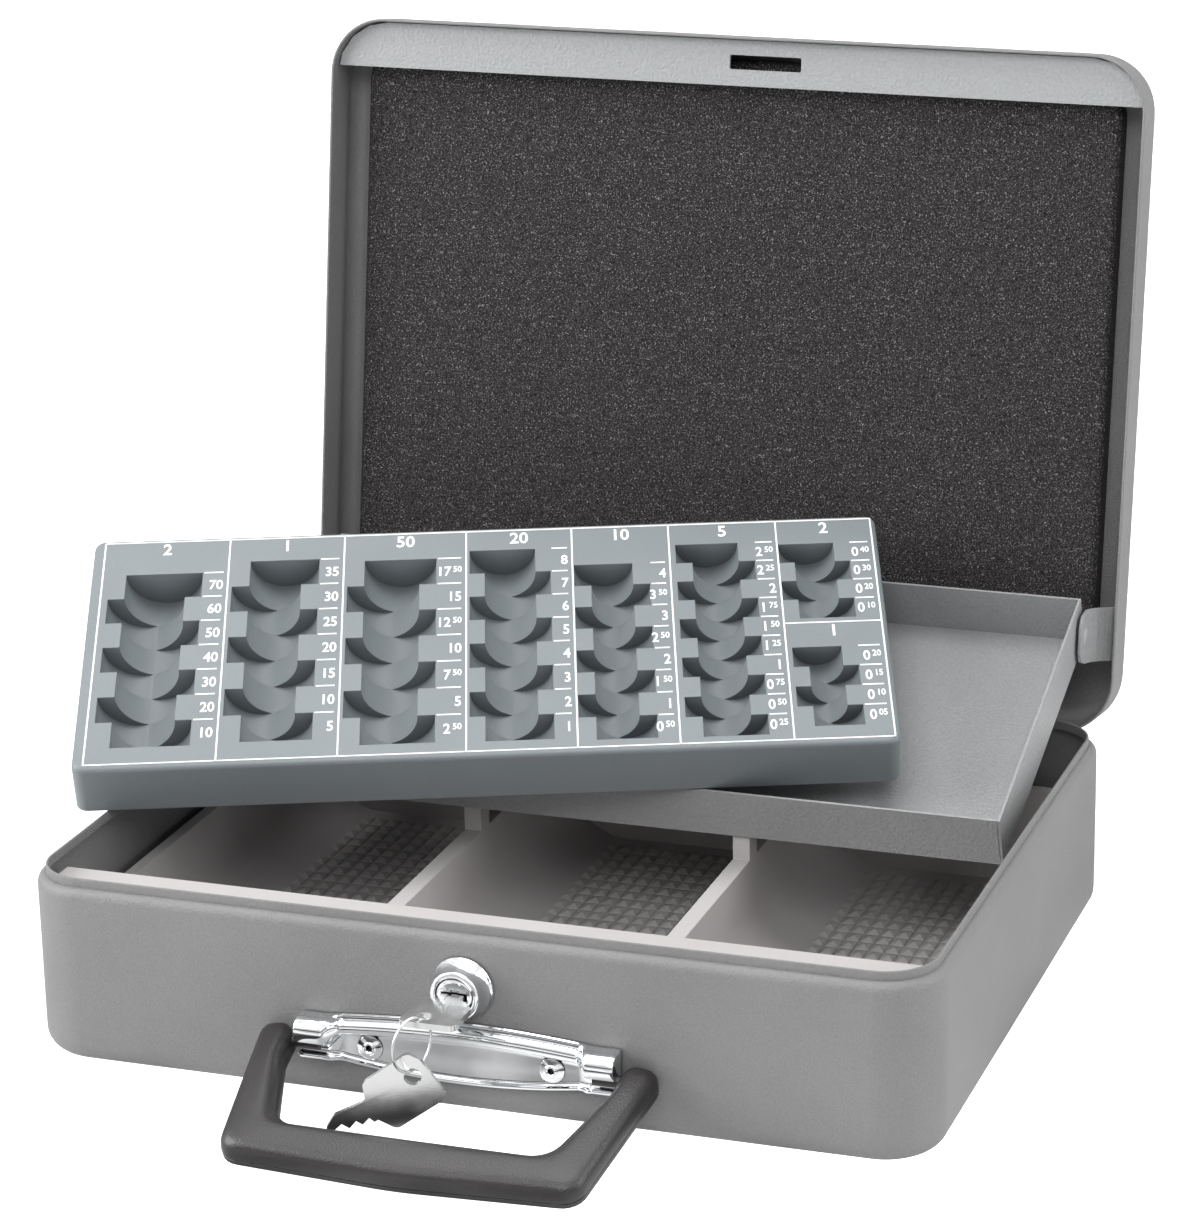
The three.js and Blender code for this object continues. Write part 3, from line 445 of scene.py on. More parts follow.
def open_foam():
    """Polyether foam: dark open cells whose struts catch small lights."""
    made, tree, shader, place = start_material("open_cell_foam")
    # Cells of 0.5 mm, with struts that glint here and there.
    cells = cloudy(tree, place, 2100, 3)
    ramp = shade_colour(tree, shader, cells, linear("#171515"), linear("#a8a6a6"), 0.4, 0.76)
    middle = ramp.color_ramp.elements.new(0.6)
    middle.color = (*linear("#3d3b3b"), 1)
    uneven(tree, shader, cells, 0.6, 0.0003)
    shader.inputs["Roughness"].default_value = 0.95
    shader.inputs["Specular IOR Level"].default_value = 0.25
    return made


def plated(name, colour, rough, spread, scratch, recess=1.0):
    """Plated metal: a mirror with faint polishing lines and touches of haze."""
    made, tree, shader, place = start_material(name)
    haze = cloudy(tree, place, 130, 4)
    roughness = ranged(tree, haze, 0.35, 0.7, rough, rough + spread)
    tree.links.new(roughness, shader.inputs["Roughness"])
    # Polishing lines of 0.4 mm, 5 mm long, over waves of 6 mm.
    stretch = add_node(tree, "ShaderNodeMapping", {"Vector": place, "Scale": (200, 2400, 2400)})
    lines = cloudy(tree, stretch.outputs["Vector"], 1, 3)
    waves = uneven(tree, shader, cloudy(tree, place, 160, 1), 0.15, 0.00006)
    uneven(tree, shader, lines, scratch, 0.00002, waves)
    shade_colour(tree, shader, haze, scaled(linear(colour), 0.93), linear(colour), 0.3, 0.6)
    shader.inputs["Metallic"].default_value = 1.0
    if recess < 1:
        # Painted shade: the base colour is darkened in folds, creases and rivet bores, where shade falls.
        darken_recesses(tree, shader, 0.0022, 0.35, 0.8, recess)
    return made


def grained_grip():
    """Polypropylene moulded with a leather grain: pebbles of about half a millimetre."""
    made, tree, shader, place = start_material("leather_grained_plastic")
    pebbles = add_node(tree, "ShaderNodeTexVoronoi", feature="SMOOTH_F1",
        inputs={"Vector": place, "Scale": 1700, "Smoothness": 0.6})
    colour, broad = colours().grip, cloudy(tree, place, 60, 3)
    shade_colour(tree, shader, broad, scaled(colour, 0.85), scaled(colour, 1.2), 0.35, 0.65)
    uneven(tree, shader, pebbles.outputs["Distance"], 0.5, 0.00014, invert=True)
    shader.inputs["Roughness"].default_value = 0.38
    shader.inputs["Specular IOR Level"].default_value = 0.6
    return made


FINISHES = {}


def finish_of(name):
    """The material of a finish, made when it is first asked for."""
    if name not in FINISHES:
        makers = {
            "body_paint": powder_coat,
            "tray_paint": lambda: satin_paint("satin_tray_paint", colours().tray),
            "plate_steel": lambda: satin_paint("satin_plate_paint", linear("#989a9b"), 1.0),
            "coin_plastic": lambda: moulded_plastic(
                "blue_grey_polystyrene", colours().coins, 0.42, 0.0003, 0.35
            ),
            "insert_plastic": lambda: moulded_plastic(
                "warm_grey_polystyrene", colours().insert, 0.5, 0.0005
            ),
            "ink": printed_ink,
            "foam": open_foam,
            "chrome": lambda: plated("polished_chrome", "#eceef0", 0.05, 0.09, 0.1, 0.08),
            "key_metal": lambda: plated("nickel_plate", "#d6d7d6", 0.2, 0.08, 0.5),
            "zinc": lambda: plated("zinc_plate", "#b9bbbe", 0.3, 0.15, 0.5),
            "grip_plastic": grained_grip,
        }
        FINISHES[name] = makers[name]()
    return FINISHES[name]


# Meshes.
def mesh_from(name, points, faces, matrix=None):
    """A mesh of millimetre points, placed by a matrix."""
    matrix = matrix or Matrix.Identity(4)
    mesh = bpy.data.meshes.new(name)
    mesh.from_pydata([(matrix @ Vector(p)) * MM for p in points], [], faces)
    mesh.update()
    return mesh


@contextmanager
def edited(mesh):
    """Opens a mesh for editing and writes it back."""
    work = bmesh.new()
    work.from_mesh(mesh)
    yield work
    work.to_mesh(mesh)
    work.free()


def weld(mesh, outward=True):
    """Merges doubles and, where asked, turns the faces outwards."""
    with edited(mesh) as work:
        bmesh.ops.remove_doubles(work, verts=work.verts, dist=WELD)
        if outward:
            bmesh.ops.recalc_face_normals(work, faces=work.faces)


def smooth(mesh, angle=32):
    """Smooth shading, with the edges sharper than an angle kept sharp."""
    mesh.shade_smooth()
    mesh.set_sharp_from_angle(angle=radians(angle))


def added(name, data):
    """A new object of some data, linked to the scene at the origin."""
    made = bpy.data.objects.new(name, data)
    bpy.context.scene.collection.objects.link(made)
    return made


def placed(mesh, matrix):
    """Moves a mesh by a matrix in millimetres."""
    metres = matrix.copy()
    metres.translation = metres.translation * MM
    mesh.transform(metres)
    return mesh


def show(name, mesh, body, finish, replaces=(), angle=32, weighted=False):
    """Makes a piece of a finished mesh that rides on a body."""
    mesh.materials.clear()
    mesh.materials.append(finish_of(finish))
    smooth(mesh, angle)
    made = added(name, mesh)
    if weighted:
        level = made.modifiers.new("even_normals", "WEIGHTED_NORMAL")
        level.keep_sharp = True
    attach(made, body)
    if replaces:
        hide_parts(*replaces)
    return made


def bevelled(piece, width, segments=2, angle=40):
    """Rounds a piece's sharper edges by a width in millimetres."""
    edge = piece.modifiers.new("rounded_edges", "BEVEL")
    edge.width = width * MM
    edge.segments = segments
    edge.limit_method = "ANGLE"
    edge.angle_limit = radians(angle)
    edge.harden_normals = True
    return piece


def copied(node):
    """A welded copy of a CAD node's mesh with its flat faces joined."""
    source = frame["nodes"][node].data
    mesh = bpy.data.meshes.new(node + "_fine")
    faces = [tuple(p.vertices) for p in source.polygons]
    mesh.from_pydata([v.co.copy() for v in source.vertices], [], faces)
    weld(mesh, outward=False)
    with edited(mesh) as work:
        flat = radians(0.3)
        bmesh.ops.dissolve_limit(work, angle_limit=flat, verts=work.verts, edges=work.edges)
    return mesh


def baked(made):
    """The mesh that an object shows, with the object and its own data removed."""
    bpy.context.view_layer.update()
    seen = made.evaluated_get(bpy.context.evaluated_depsgraph_get())
    mesh = bpy.data.meshes.new_from_object(seen)
    bpy.data.batch_remove((made, made.data))
    return mesh


def carved(mesh, cutter, own=True):
    """A mesh with a cutter's mesh taken out of it."""
    body, tool = added("carve_body", mesh), added("carve_tool", cutter)
    step = body.modifiers.new("carve", "BOOLEAN")
    step.operation = "DIFFERENCE"
    step.solver = "EXACT"
    step.use_self = own
    step.object = tool
    result = baked(body)
    bpy.data.batch_remove((tool, cutter))
    return result


def joined(meshes, name="joined"):
    """One mesh of several."""
    work = bmesh.new()
    for mesh in meshes:
        work.from_mesh(mesh)
        bpy.data.meshes.remove(mesh)
    made = bpy.data.meshes.new(name)
    work.to_mesh(made)
    work.free()
    return made


BLOCK_FACES = ((0, 1, 3, 2), (4, 6, 7, 5), (0, 4, 5, 1), (2, 3, 7, 6), (0, 2, 6, 4), (1, 5, 7, 3))


def blocks(corners, matrix=None):
    """A mesh of boxes, each given by its low and high corner."""
    points, faces = [], []
    for low, high in corners:
        start = len(points)
        points += [(x, y, z) for x, y, z in product(*zip(low, high))]
        faces += [[start + i for i in face] for face in BLOCK_FACES]
    return mesh_from("blocks", points, faces, matrix)


def arc(middle, radius, start, end, steps):
    """Points of an arc in a plane, angles in degrees."""
    points = []
    for k in range(steps + 1):
        angle = radians(start + (end - start) * k / steps)
        points.append((middle[0] + radius * cos(angle), middle[1] + radius * sin(angle)))
    return points


def quarter_round(steps):
    """Rise and set-back, as shares of a radius, at even steps of a quarter turn."""
    turns = [radians(90 * k / steps) for k in range(steps + 1)]
    return [(sin(turn), 1 - cos(turn)) for turn in turns]


def corner_ring(half_x, half_y, round_off, steps):
    """Points of a rounded rectangle about the origin."""
    ring = []
    for quarter, (sx, sy) in enumerate(((1, 1), (-1, 1), (-1, -1), (1, -1))):
        middle = (sx * (half_x - round_off), sy * (half_y - round_off))
        ring += arc(middle, round_off, 90 * quarter, 90 * quarter + 90, steps)
    return ring


def skinned(name, stations, matrix=None, looped=False):
    """A body through stations of equally many points, with flat ends or in a loop."""
    points = [p for station in stations for p in station]
    count, total = len(stations[0]), len(stations)
    faces = []
    for s in range(total if looped else total - 1):
        here, there = s * count, (s + 1) % total * count
        for k in range(count):
            on = (k + 1) % count
            faces.append((here + k, here + on, there + on, there + k))
    if not looped:
        last = (total - 1) * count
        faces.append(tuple(range(count)))
        faces.append(tuple(last + k for k in reversed(range(count))))
    mesh = mesh_from(name, points, faces, matrix)
    weld(mesh)
    return mesh


def lofted(name, profile, half_x, half_y, radius, steps=14, middle=(0.0, 0.0)):
    """A body through rounded rectangles, each given by its height and inset."""
    stations = []
    for z, inset in profile:
        round_off = max(radius - inset, radius / 12)
        ring = corner_ring(half_x - inset, half_y - inset, round_off, steps)
        stations.append([(x + middle[0], y + middle[1], z) for x, y in ring])
    return skinned(name, stations)


def lathed(name, profile, middle, axis="Y", steps=64):
    """A body of revolution: (radius, place along the axis) pairs about a middle."""
    stations = []
    for k in range(steps):
        turn = 2 * pi * k / steps
        station = []
        for radius, along in profile:
            a, b = radius * cos(turn), radius * sin(turn)
            offset = {"Y": (a, along, b), "X": (along, a, b)}[axis]
            station.append(tuple(m + o for m, o in zip(middle, offset)))
        stations.append(station)
    return skinned(name, stations, looped=True)


# Geometry Nodes trees.
def new_tree(name, sockets):
    """A geometry tree with named inputs: the tree and the sockets of its inputs."""
    tree = bpy.data.node_groups.new(name, "GeometryNodeTree")
    for label, value in sockets.items():
        kind = "NodeSocketInt" if isinstance(value, int) else "NodeSocketFloat"
        tree.interface.new_socket(label, in_out="INPUT", socket_type=kind).default_value = value
    tree.interface.new_socket("Geometry", in_out="OUTPUT", socket_type="NodeSocketGeometry")
    return tree, add_node(tree, "NodeGroupInput").outputs


def end_tree(tree, finish, inputs):
    """Puts a shape on each point, realizes the copies and gives them their material."""
    copies = add_node(tree, "GeometryNodeInstanceOnPoints", inputs).outputs["Instances"]
    real = add_node(tree, "GeometryNodeRealizeInstances", {"Geometry": copies})
    inputs = {"Geometry": real.outputs["Geometry"], "Material": finish_of(finish)}
    coat = add_node(tree, "GeometryNodeSetMaterial", inputs)
    add_node(tree, "NodeGroupOutput", {"Geometry": coat.outputs["Geometry"]})
    return tree


def run_tree(tree, values, matrix):
    """The mesh that a tree makes with these values, placed by a matrix in millimetres."""
    made = added("tree_run", bpy.data.meshes.new("tree_run"))
    step = made.modifiers.new("tree", "NODES")
    step.node_group = tree
    for item in tree.interface.items_tree:
        if item.name in values:
            step[item.identifier] = values[item.name]
    return placed(baked(made), matrix)


def row_points(tree, given):
    """Points at the pitch along Y, one for each row."""
    step = add_node(tree, "ShaderNodeCombineXYZ", {"Y": given["Pitch"]})
    inputs = {"Count": given["Rows"], "Offset": step.outputs["Vector"]}
    return add_node(tree, "GeometryNodeMeshLine", inputs).outputs["Mesh"]


def channel_tree():
    """Round cutters for one column of coin channels, stepping left and right row by row."""
    sockets = {"Radius": 0.013, "Pitch": 0.0126, "Rows": 7, "Stagger": 0.0056, "Segments": 56}
    tree, given = new_tree("coin_channels", sockets)
    index = add_node(tree, "GeometryNodeInputIndex").outputs["Index"]
    side = maths(tree, "MULTIPLY_ADD", maths(tree, "MODULO", index, 2.0), -1.0, 0.5)
    shift = maths(tree, "MULTIPLY", side, given["Stagger"])
    offset = add_node(tree, "ShaderNodeCombineXYZ", {"X": shift}).outputs["Vector"]
    inputs = {"Geometry": row_points(tree, given), "Offset": offset}
    moved = add_node(tree, "GeometryNodeSetPosition", inputs).outputs["Geometry"]
    # A hair longer than the pitch, so that neighbouring rows run into each other.
    length = maths(tree, "ADD", given["Pitch"], 0.00002)
    inputs = {"Vertices": given["Segments"], "Radius": given["Radius"], "Depth": length}
    drum = add_node(tree, "GeometryNodeMeshCylinder", inputs).outputs["Mesh"]
    inputs = {"Points": moved, "Instance": drum, "Rotation": (pi / 2, 0, 0)}
    return end_tree(tree, "coin_plastic", inputs)


def stud_tree():
    """A field of small four-sided pyramids."""
    sockets = {"Across": 8, "Along": 30, "Pitch": 0.0053, "Row": 0.0069, "Height": 0.001}
    tree, given = new_tree("pyramid_field", sockets)
    inputs = {"Vertices X": given["Across"], "Vertices Y": given["Along"]}
    for side, count, step in (("Size X", "Across", "Pitch"), ("Size Y", "Along", "Row")):
        inputs[side] = maths(tree, "MULTIPLY", maths(tree, "SUBTRACT", given[count], 1.0), given[step])
    grid = add_node(tree, "GeometryNodeMeshGrid", inputs).outputs["Mesh"]
    foot = maths(tree, "MULTIPLY", given["Pitch"], 0.94 / sqrt(2))
    tip = maths(tree, "MULTIPLY", given["Pitch"], 0.05)
    inputs = {"Vertices": 4, "Radius Top": tip, "Radius Bottom": foot, "Depth": given["Height"]}
    stud = add_node(tree, "GeometryNodeMeshCone", inputs).outputs["Mesh"]
    inputs = {"Geometry": stud, "Rotation": (0, 0, pi / 4)}
    turned = add_node(tree, "GeometryNodeTransform", inputs).outputs["Geometry"]
    stretch = maths(tree, "DIVIDE", given["Row"], given["Pitch"])
    shape = add_node(tree, "ShaderNodeCombineXYZ", {"X": 1, "Y": stretch, "Z": 1})
    inputs = {"Points": grid, "Instance": turned, "Scale": shape.outputs["Vector"]}
    return end_tree(tree, "insert_plastic", inputs)


def tick_tree():
    """Short printed strokes, one at the end of each row of a column."""
    sockets = {"Rows": 7, "Pitch": 0.0126, "Length": 0.0055, "Width": 0.0007, "Thickness": 0.00004}
    tree, given = new_tree("scale_ticks", sockets)
    inputs = {"X": given["Length"], "Y": given["Width"], "Z": given["Thickness"]}
    extent = add_node(tree, "ShaderNodeCombineXYZ", inputs).outputs["Vector"]
    stroke = add_node(tree, "GeometryNodeMeshCube", {"Size": extent}).outputs["Mesh"]
    return end_tree(tree, "ink", {"Points": row_points(tree, given), "Instance": stroke})


# Pieces.
def shell_profile(skin):
    """Heights and insets of the base's wall, from foot to rim, on one face of the sheet."""
    foot, rim = [], []
    for rise, back in quarter_round(8):
        foot.append((skin + (FOOT_ROUND - skin) * back, FOOT_ROUND + (skin - FOOT_ROUND) * rise))
        rim.append((WALL_TOP + SHOULDER_RISE * rise, skin + RIM_INSET * back))
    return foot + rim


def edge_round(top, inner, outer, steps=4):
    """A rounded sheet edge that turns over from the outer inset to the inner one."""
    middle, half = (inner + outer) / 2, abs(inner - outer) / 2
    side = copysign(half, inner - outer)
    turns = [radians(180 * k / steps) for k in range(steps + 1)]
    return [(top - half + half * sin(t), middle - side * cos(t)) for t in turns]


def base_shell():
    rim = edge_round(RIM_TOP, RIM_INSET + SHEET, RIM_INSET)
    profile = shell_profile(0.0) + rim + list(reversed(shell_profile(SHEET)))
    mesh = lofted("base_wall", profile, HALF_WIDTH, HALF_DEPTH, CORNER)
    cuts = []
    for x in HINGES:
        low = (x - NOTCH_HALF, HALF_DEPTH - CORNER / 2, NOTCH_LOW)
        cuts.append((low, (x + NOTCH_HALF, HALF_DEPTH + 2, RIM_TOP + 2)))
    cutters = [blocks(cuts)]
    front, back = -HALF_DEPTH - 2, -HALF_DEPTH + 4
    holes = [(LOCK.x, LOCK.z, LOCK_BORE)]
    holes += [(x, RIVET_Z, RIVET_BORE) for x in (-RIVET_X, RIVET_X)]
    for x, z, radius in holes:
        profile = [(0, front), (radius, front), (radius, back), (0, back)]
        cutters.append(lathed("hole", profile, (x, 0.0, z)))
    mesh = carved(mesh, joined(cutters), own=False)
    show("base_wall", mesh, "base", "body_paint", ["base_shell"], weighted=True)


def lid_shell():
    start = LID_EDGE + SHEET / 2
    outer, inner = [(start, 0.0)], [(start, SHEET)]
    for rows, skin in ((outer, 0.0), (inner, SHEET)):
        radius = LID_ROUND - skin
        for rise, back in quarter_round(8):
            rows.append((LID_DEPTH - LID_ROUND + radius * rise, skin + radius * back))
    edge = [(2 * start - z, inset) for z, inset in edge_round(LID_EDGE + SHEET, SHEET, 0.0)]
    profile = list(reversed(outer)) + edge[1:-1] + inner
    middle = (0.0, -HALF_DEPTH)
    mesh = lofted("lid_wall", profile, HALF_WIDTH, HALF_DEPTH, CORNER, middle=middle)
    cuts = []
    for x in HINGES:
        cuts.append(((x - NOTCH_HALF, -SHEET - 2, -2), (x + NOTCH_HALF, 2, HINGE_CLEAR + GAP)))
    mesh = placed(carved(mesh, blocks(cuts), own=False), lid_matrix())
    show("lid_wall", mesh, "lid", "body_paint", ["lid_shell"], weighted=True)


def foam_lining():
    """Foam pad: a slab with soft edges and a slightly uneven face."""
    far = 2 * HALF_DEPTH - SHEET - FOAM_FRONT
    half_x, half_y = HALF_WIDTH - SHEET - FOAM_SIDE, (far - FOAM_NEAR) / 2
    edge_z = FOAM_FACE + FOAM_EDGE
    rings = [(LID_DEPTH - SHEET - GAP, 0.0)]
    rings += [(edge_z - FOAM_EDGE * rise, FOAM_EDGE * back) for rise, back in quarter_round(5)]
    rings += [(FOAM_FACE, FOAM_EDGE + step) for step in (2, 6, 12, 20, 30, 42, 56, 72, 88, 100)]
    middle = (0.0, -(FOAM_NEAR + far) / 2)
    mesh = lofted("foam_lining", rings, half_x, half_y, FOAM_CORNER, steps=10, middle=middle)
    with edited(mesh) as work:
        face = [e for e in work.edges if e.calc_length() > 9 * MM and e.verts[0].co.z < 16 * MM]
        bmesh.ops.subdivide_edges(work, edges=face, cuts=8, use_grid_fill=True)
        for vertex in work.verts:
            if vertex.co.z < (FOAM_FACE + 1.0) * MM:
                vertex.co.z += 0.25 * MM * (1 + noise.noise(vertex.co * 45))
    made = show("foam_lining", placed(mesh, lid_matrix()), "lid", "foam", ["foam_pad"])


def coin_tray():
    rows = [(0.0, 0.3), (0.3, 0.0)]
    for rise, back in quarter_round(8):
        rows.append((TRAY.z - TRAY_EDGE + TRAY_EDGE * rise, TRAY_EDGE * back))
    half = TRAY / 2
    mesh = lofted("coin_tray_body", rows, half.x, half.y, TRAY_CORNER, 10, (half.x, half.y))
    tree = channel_tree()
    cutters = []
    for _, coin, edge, count, front, middle, stagger in COLUMNS:
        pitch = COINS_PER_ROW * edge + ROW_PLAY
        values = {"Radius": (coin + COIN_PLAY) / 2 * MM, "Pitch": pitch * MM}
        values |= {"Rows": count, "Stagger": stagger * MM, "Segments": 56}
        place = Matrix.Translation((middle, front + pitch / 2, TRAY.z))
        cutters.append(run_tree(tree, values, place))
    bay_count = len(COLUMNS) // 2
    bay = (TRAY.x - TRAY_WALL * 2 + TRAY_RIB) / bay_count
    bays = []
    for k in range(bay_count):
        left, right = TRAY_WALL + k * bay, TRAY_WALL + (k + 1) * bay - TRAY_RIB
        bays.append(((left, TRAY_WALL, -2), (right, TRAY.y - TRAY_WALL, TRAY_UNDER)))
    mesh = carved(mesh, joined([*cutters, blocks(bays)]))
    weld(mesh, outward=False)
    placed(mesh, coin_matrix())
    show("coin_tray_body", mesh, "coins", "coin_plastic", ["coin_tray"], weighted=True)


def lettered(text, size, u, v, squeeze, align):
    """A printed number as a thin mesh, placed on the tray's top, sizes in millimetres."""
    curve = bpy.data.curves.new("number", "FONT")
    curve.body = text
    curve.size = size * MM
    curve.align_x = align
    curve.align_y = "CENTER"
    curve.extrude = INK / 2 * MM
    curve.resolution_u = 3
    curve.offset = 0.018 * size * MM
    mesh = baked(added("number", curve))
    place = Matrix.Translation((u, v, TRAY.z + INK / 2))
    return placed(mesh, place @ Matrix.Diagonal((squeeze, 1, 1, 1)))


def coin_scale():
    """White printing: border, column lines, a tick and a number at each row, and headings."""
    half = sizes().line / MM / 2
    left, low, right, high = BORDER
    last = COLUMN_LINES[-1]
    lines = [(left, low, right, low), (left, high, right, high)]
    lines += [(u, low, u, high) for u in (left, right, *COLUMN_LINES)]
    lines += [(last, DIVIDER_V, right, DIVIDER_V)]
    strokes = []
    for u0, v0, u1, v1 in lines:
        strokes.append(((u0 - half, v0 - half, TRAY.z), (u1 + half, v1 + half, TRAY.z + INK)))
    meshes = [blocks(strokes)]
    tree = tick_tree()
    digit = sizes().digit / MM / DIGIT_SHARE
    edges = [left, *COLUMN_LINES, right]
    for n, (value, coin, edge, count, front, middle, stagger) in enumerate(COLUMNS):
        bay = min(n, len(edges) - 2)
        line = edges[bay + 1]
        pitch = COINS_PER_ROW * edge + ROW_PLAY
        slot_edge = middle + stagger / 2 + (coin + COIN_PLAY) / 2
        length = line - slot_edge - 2.2
        values = {"Rows": count, "Pitch": pitch * MM, "Length": length * MM}
        values |= {"Width": TICK_WIDTH * MM, "Thickness": INK * MM}
        tick = (slot_edge + 0.5 + length / 2, front + pitch, TRAY.z + INK / 2)
        meshes.append(run_tree(tree, values, Matrix.Translation(tick)))
        size = min(digit, (pitch - 2.6) / DIGIT_SHARE)
        small = size * 0.62
        for row in range(count):
            whole, part = divmod(round((row + 1) * COINS_PER_ROW * value * 100), 100)
            u, v = line - 1.5, front + (row + 0.46) * pitch
            if part:
                raised = v + size * 0.17
                meshes.append(lettered(f"{part:02d}", small, u, raised, DIGIT_SHARE, "RIGHT"))
                u -= small * DIGIT_SHARE * 1.22
            meshes.append(lettered(str(whole), size, u, v, DIGIT_SHARE, "RIGHT"))
        top = (high if n < len(COLUMNS) - 1 else DIVIDER_V) - 4.6
        heading = f"{value if value >= 1 else value * 100:.0f}"
        centre = (edges[bay] + line) / 2
        meshes.append(lettered(heading, digit * 1.2, centre, top, 0.8, "CENTER"))
    mesh = placed(joined(meshes, "coin_scale"), coin_matrix())
    show("coin_scale", mesh, "coins", "ink", angle=30)


def note_tray():
    """Sheet steel note tray with folded walls and open seams at its corners."""
    low, high = NOTE_FLOOR - PIVOT_HEIGHT, NOTE_HEIGHT - PIVOT_HEIGHT + 1
    front, rear = PIVOT_INSET - NOTE_DEPTH, PIVOT_INSET
    seams = []
    for side in (-1, 1):
        u = side * (NOTE_WIDTH / 2 - NOTE_SHEET - 0.12)
        for v0, v1 in ((front - 0.5, front + 0.35), (rear - 0.35, rear + 0.5)):
            seams.append(((u - NOTE_SEAM, v0, low), (u + NOTE_SEAM, v1, high)))
    mesh = carved(copied("note_tray"), blocks(seams, note_matrix()), own=False)
    bevelled(show("note_tray_sheet", mesh, "notes", "tray_paint", ["note_tray"]), 0.22)


def eased(body, finish, width, *nodes):
    """Copies of solids with eased edges, as pieces of the same form."""
    for node in nodes:
        bevelled(show(node + "_fine", copied(node), body, finish, [node]), width)


def strike_plate():
    made = show("strike_plate_sheet", copied("strike_plate"), "lid", "plate_steel", ["strike_plate"])
    bevelled(made, 0.25)


def hinges():
    """Hinge leaves and pins with eased edges."""
    for side in ("left", "right"):
        eased("base", "body_paint", 0.2, "base_leaf_" + side)
        eased("lid", "body_paint", 0.2, "lid_leaf_" + side)
        eased("base", "zinc", 0.15, "hinge_pin_" + side)


def tray_tabs():
    """Tabs bent out of the lid's sides beside the note tray, with flat painted rivets."""
    bend = [(148.0, 15.4), (148.0, 10.5), (147.4, 8.9), (145.4, 7.4), (143.4, 5.6), (141.6, 3.2)]
    bend += [(140.6, 0.6), (140.2, -2.0), (140.1, -8.0), (140.1, -10.0)]
    path = [Vector(p) for p in rounded_path([(x, w, 3.0) for x, w in bend], 3)]
    place = lid_matrix()
    for side, name in ((-1, "left"), (1, "right")):
        stations = []
        for i, here in enumerate(path):
            way = (path[min(i + 1, len(path) - 1)] - path[max(i - 1, 0)]).normalized()
            out = Vector((-way.y, way.x)) * TAB_HALF_SHEET
            edge = TAB_END - min(max(here.y - bend[-1][1], 0), TAB_END)
            reach = TAB_HALF_WIDTH - TAB_END + sqrt(max(TAB_END**2 - edge**2, 0.4))
            near, far = -PIVOT_REACH - reach, -PIVOT_REACH + reach
            corners = [(here + out, near), (here + out, far), (here - out, far), (here - out, near)]
            stations.append([(side * p.x, v, p.y) for p, v in corners])
        mesh = skinned("tray_tab_sheet_" + name, stations, place)
        tab = show(mesh.name, mesh, "lid", "tray_paint", ["tray_tab_" + name], angle=50)
        bevelled(tab, 0.25, 2, 60)
        profile = [(0.0, 141.5), (1.8, 141.45), (2.8, 141.3), (3.6, 141.0), (3.9, 140.68)]
        profile += [(2.0, 140.66), (2.0, 137.4), (4.0, 137.4), (3.4, 136.6), (0.0, 136.3)]
        head = lathed("tab_rivet_fine_" + name, profile, (0.0, -PIVOT_REACH, -PIVOT_DROP), "X", 40)
        if side < 0:
            head.transform(Matrix.Scale(-1, 4, (1, 0, 0)))
            head.flip_normals()
        placed(head, place)
        show(head.name, head, "lid", "tray_paint", ["tab_rivet_" + name])


def insert_tray():
    made = show("insert_tray", copied("cash_insert"), "base", "insert_plastic", ["cash_insert"])
    bevelled(made, 0.6, 3, 50)
    tree, pitch = stud_tree(), sizes().stud
    across, along = STUD_COUNTS
    values = {"Across": across, "Along": along, "Pitch": pitch}
    values |= {"Row": sizes().stud_row, "Height": sizes().stud_height}
    fields = []
    for left in BAY_SIDES:
        centre = left + STUD_START + across * pitch / MM / 2
        place = Matrix.Translation((centre, STUD_MIDDLE_Y, STUD_FLOOR))
        fields.append(run_tree(tree, values, place))
    show("insert_studs", joined(fields, "insert_studs"), "base", "insert_plastic", angle=10)


def lock_parts():
    """Collar, plug, cam and nut."""
    wall = LOCK.y - GAP
    face = wall - COLLAR_REACH
    middle = (LOCK.x, 0.0, LOCK.z)
    profile = [(6.05, wall + 6.0), (6.05, face + 0.5), (6.2, face + 0.12), (6.5, face)]
    profile += arc((7.3, face + 0.7), 0.7, -90, -10, 6)
    profile += [(8.1, face + 1.4), (8.3, face + 2.8), (8.75, face + 4.3), (9.4, face + 5.7)]
    profile += [(10.0, wall - 0.95), (10.2, wall - 0.7), (10.3, wall - 0.4), (10.3, wall)]
    profile += [(8.0, wall), (8.0, wall + 6.0)]
    collar = lathed("lock_collar_fine", profile, middle)
    show("lock_collar_fine", collar, "base", "chrome", ["lock_collar"])
    front = face + 0.25
    disc = [(0.0, front), (5.2, front), (5.75, front + 0.2), (5.8, front + 0.5)]
    disc += [(5.8, front + 3.2), (0.0, front + 3.2)]
    slot = [((LOCK.x - 4.3, front - 1, 41.8), (LOCK.x + 4.3, front + 2.6, 44.4))]
    slot += [((LOCK.x - 1.2, front - 1, 41.0), (LOCK.x + 1.6, front + 2.6, 45.2))]
    cap = carved(lathed("plug_face", disc, middle), blocks(slot))
    show("plug_face", cap, "lock", "chrome")
    eased("lock", "chrome", 0.18, "lock_plug")
    eased("lock", "zinc", 0.25, "lock_cam")
    eased("lock", "zinc", 0.15, "cam_screw")
    eased("base", "zinc", 0.25, "lock_nut")


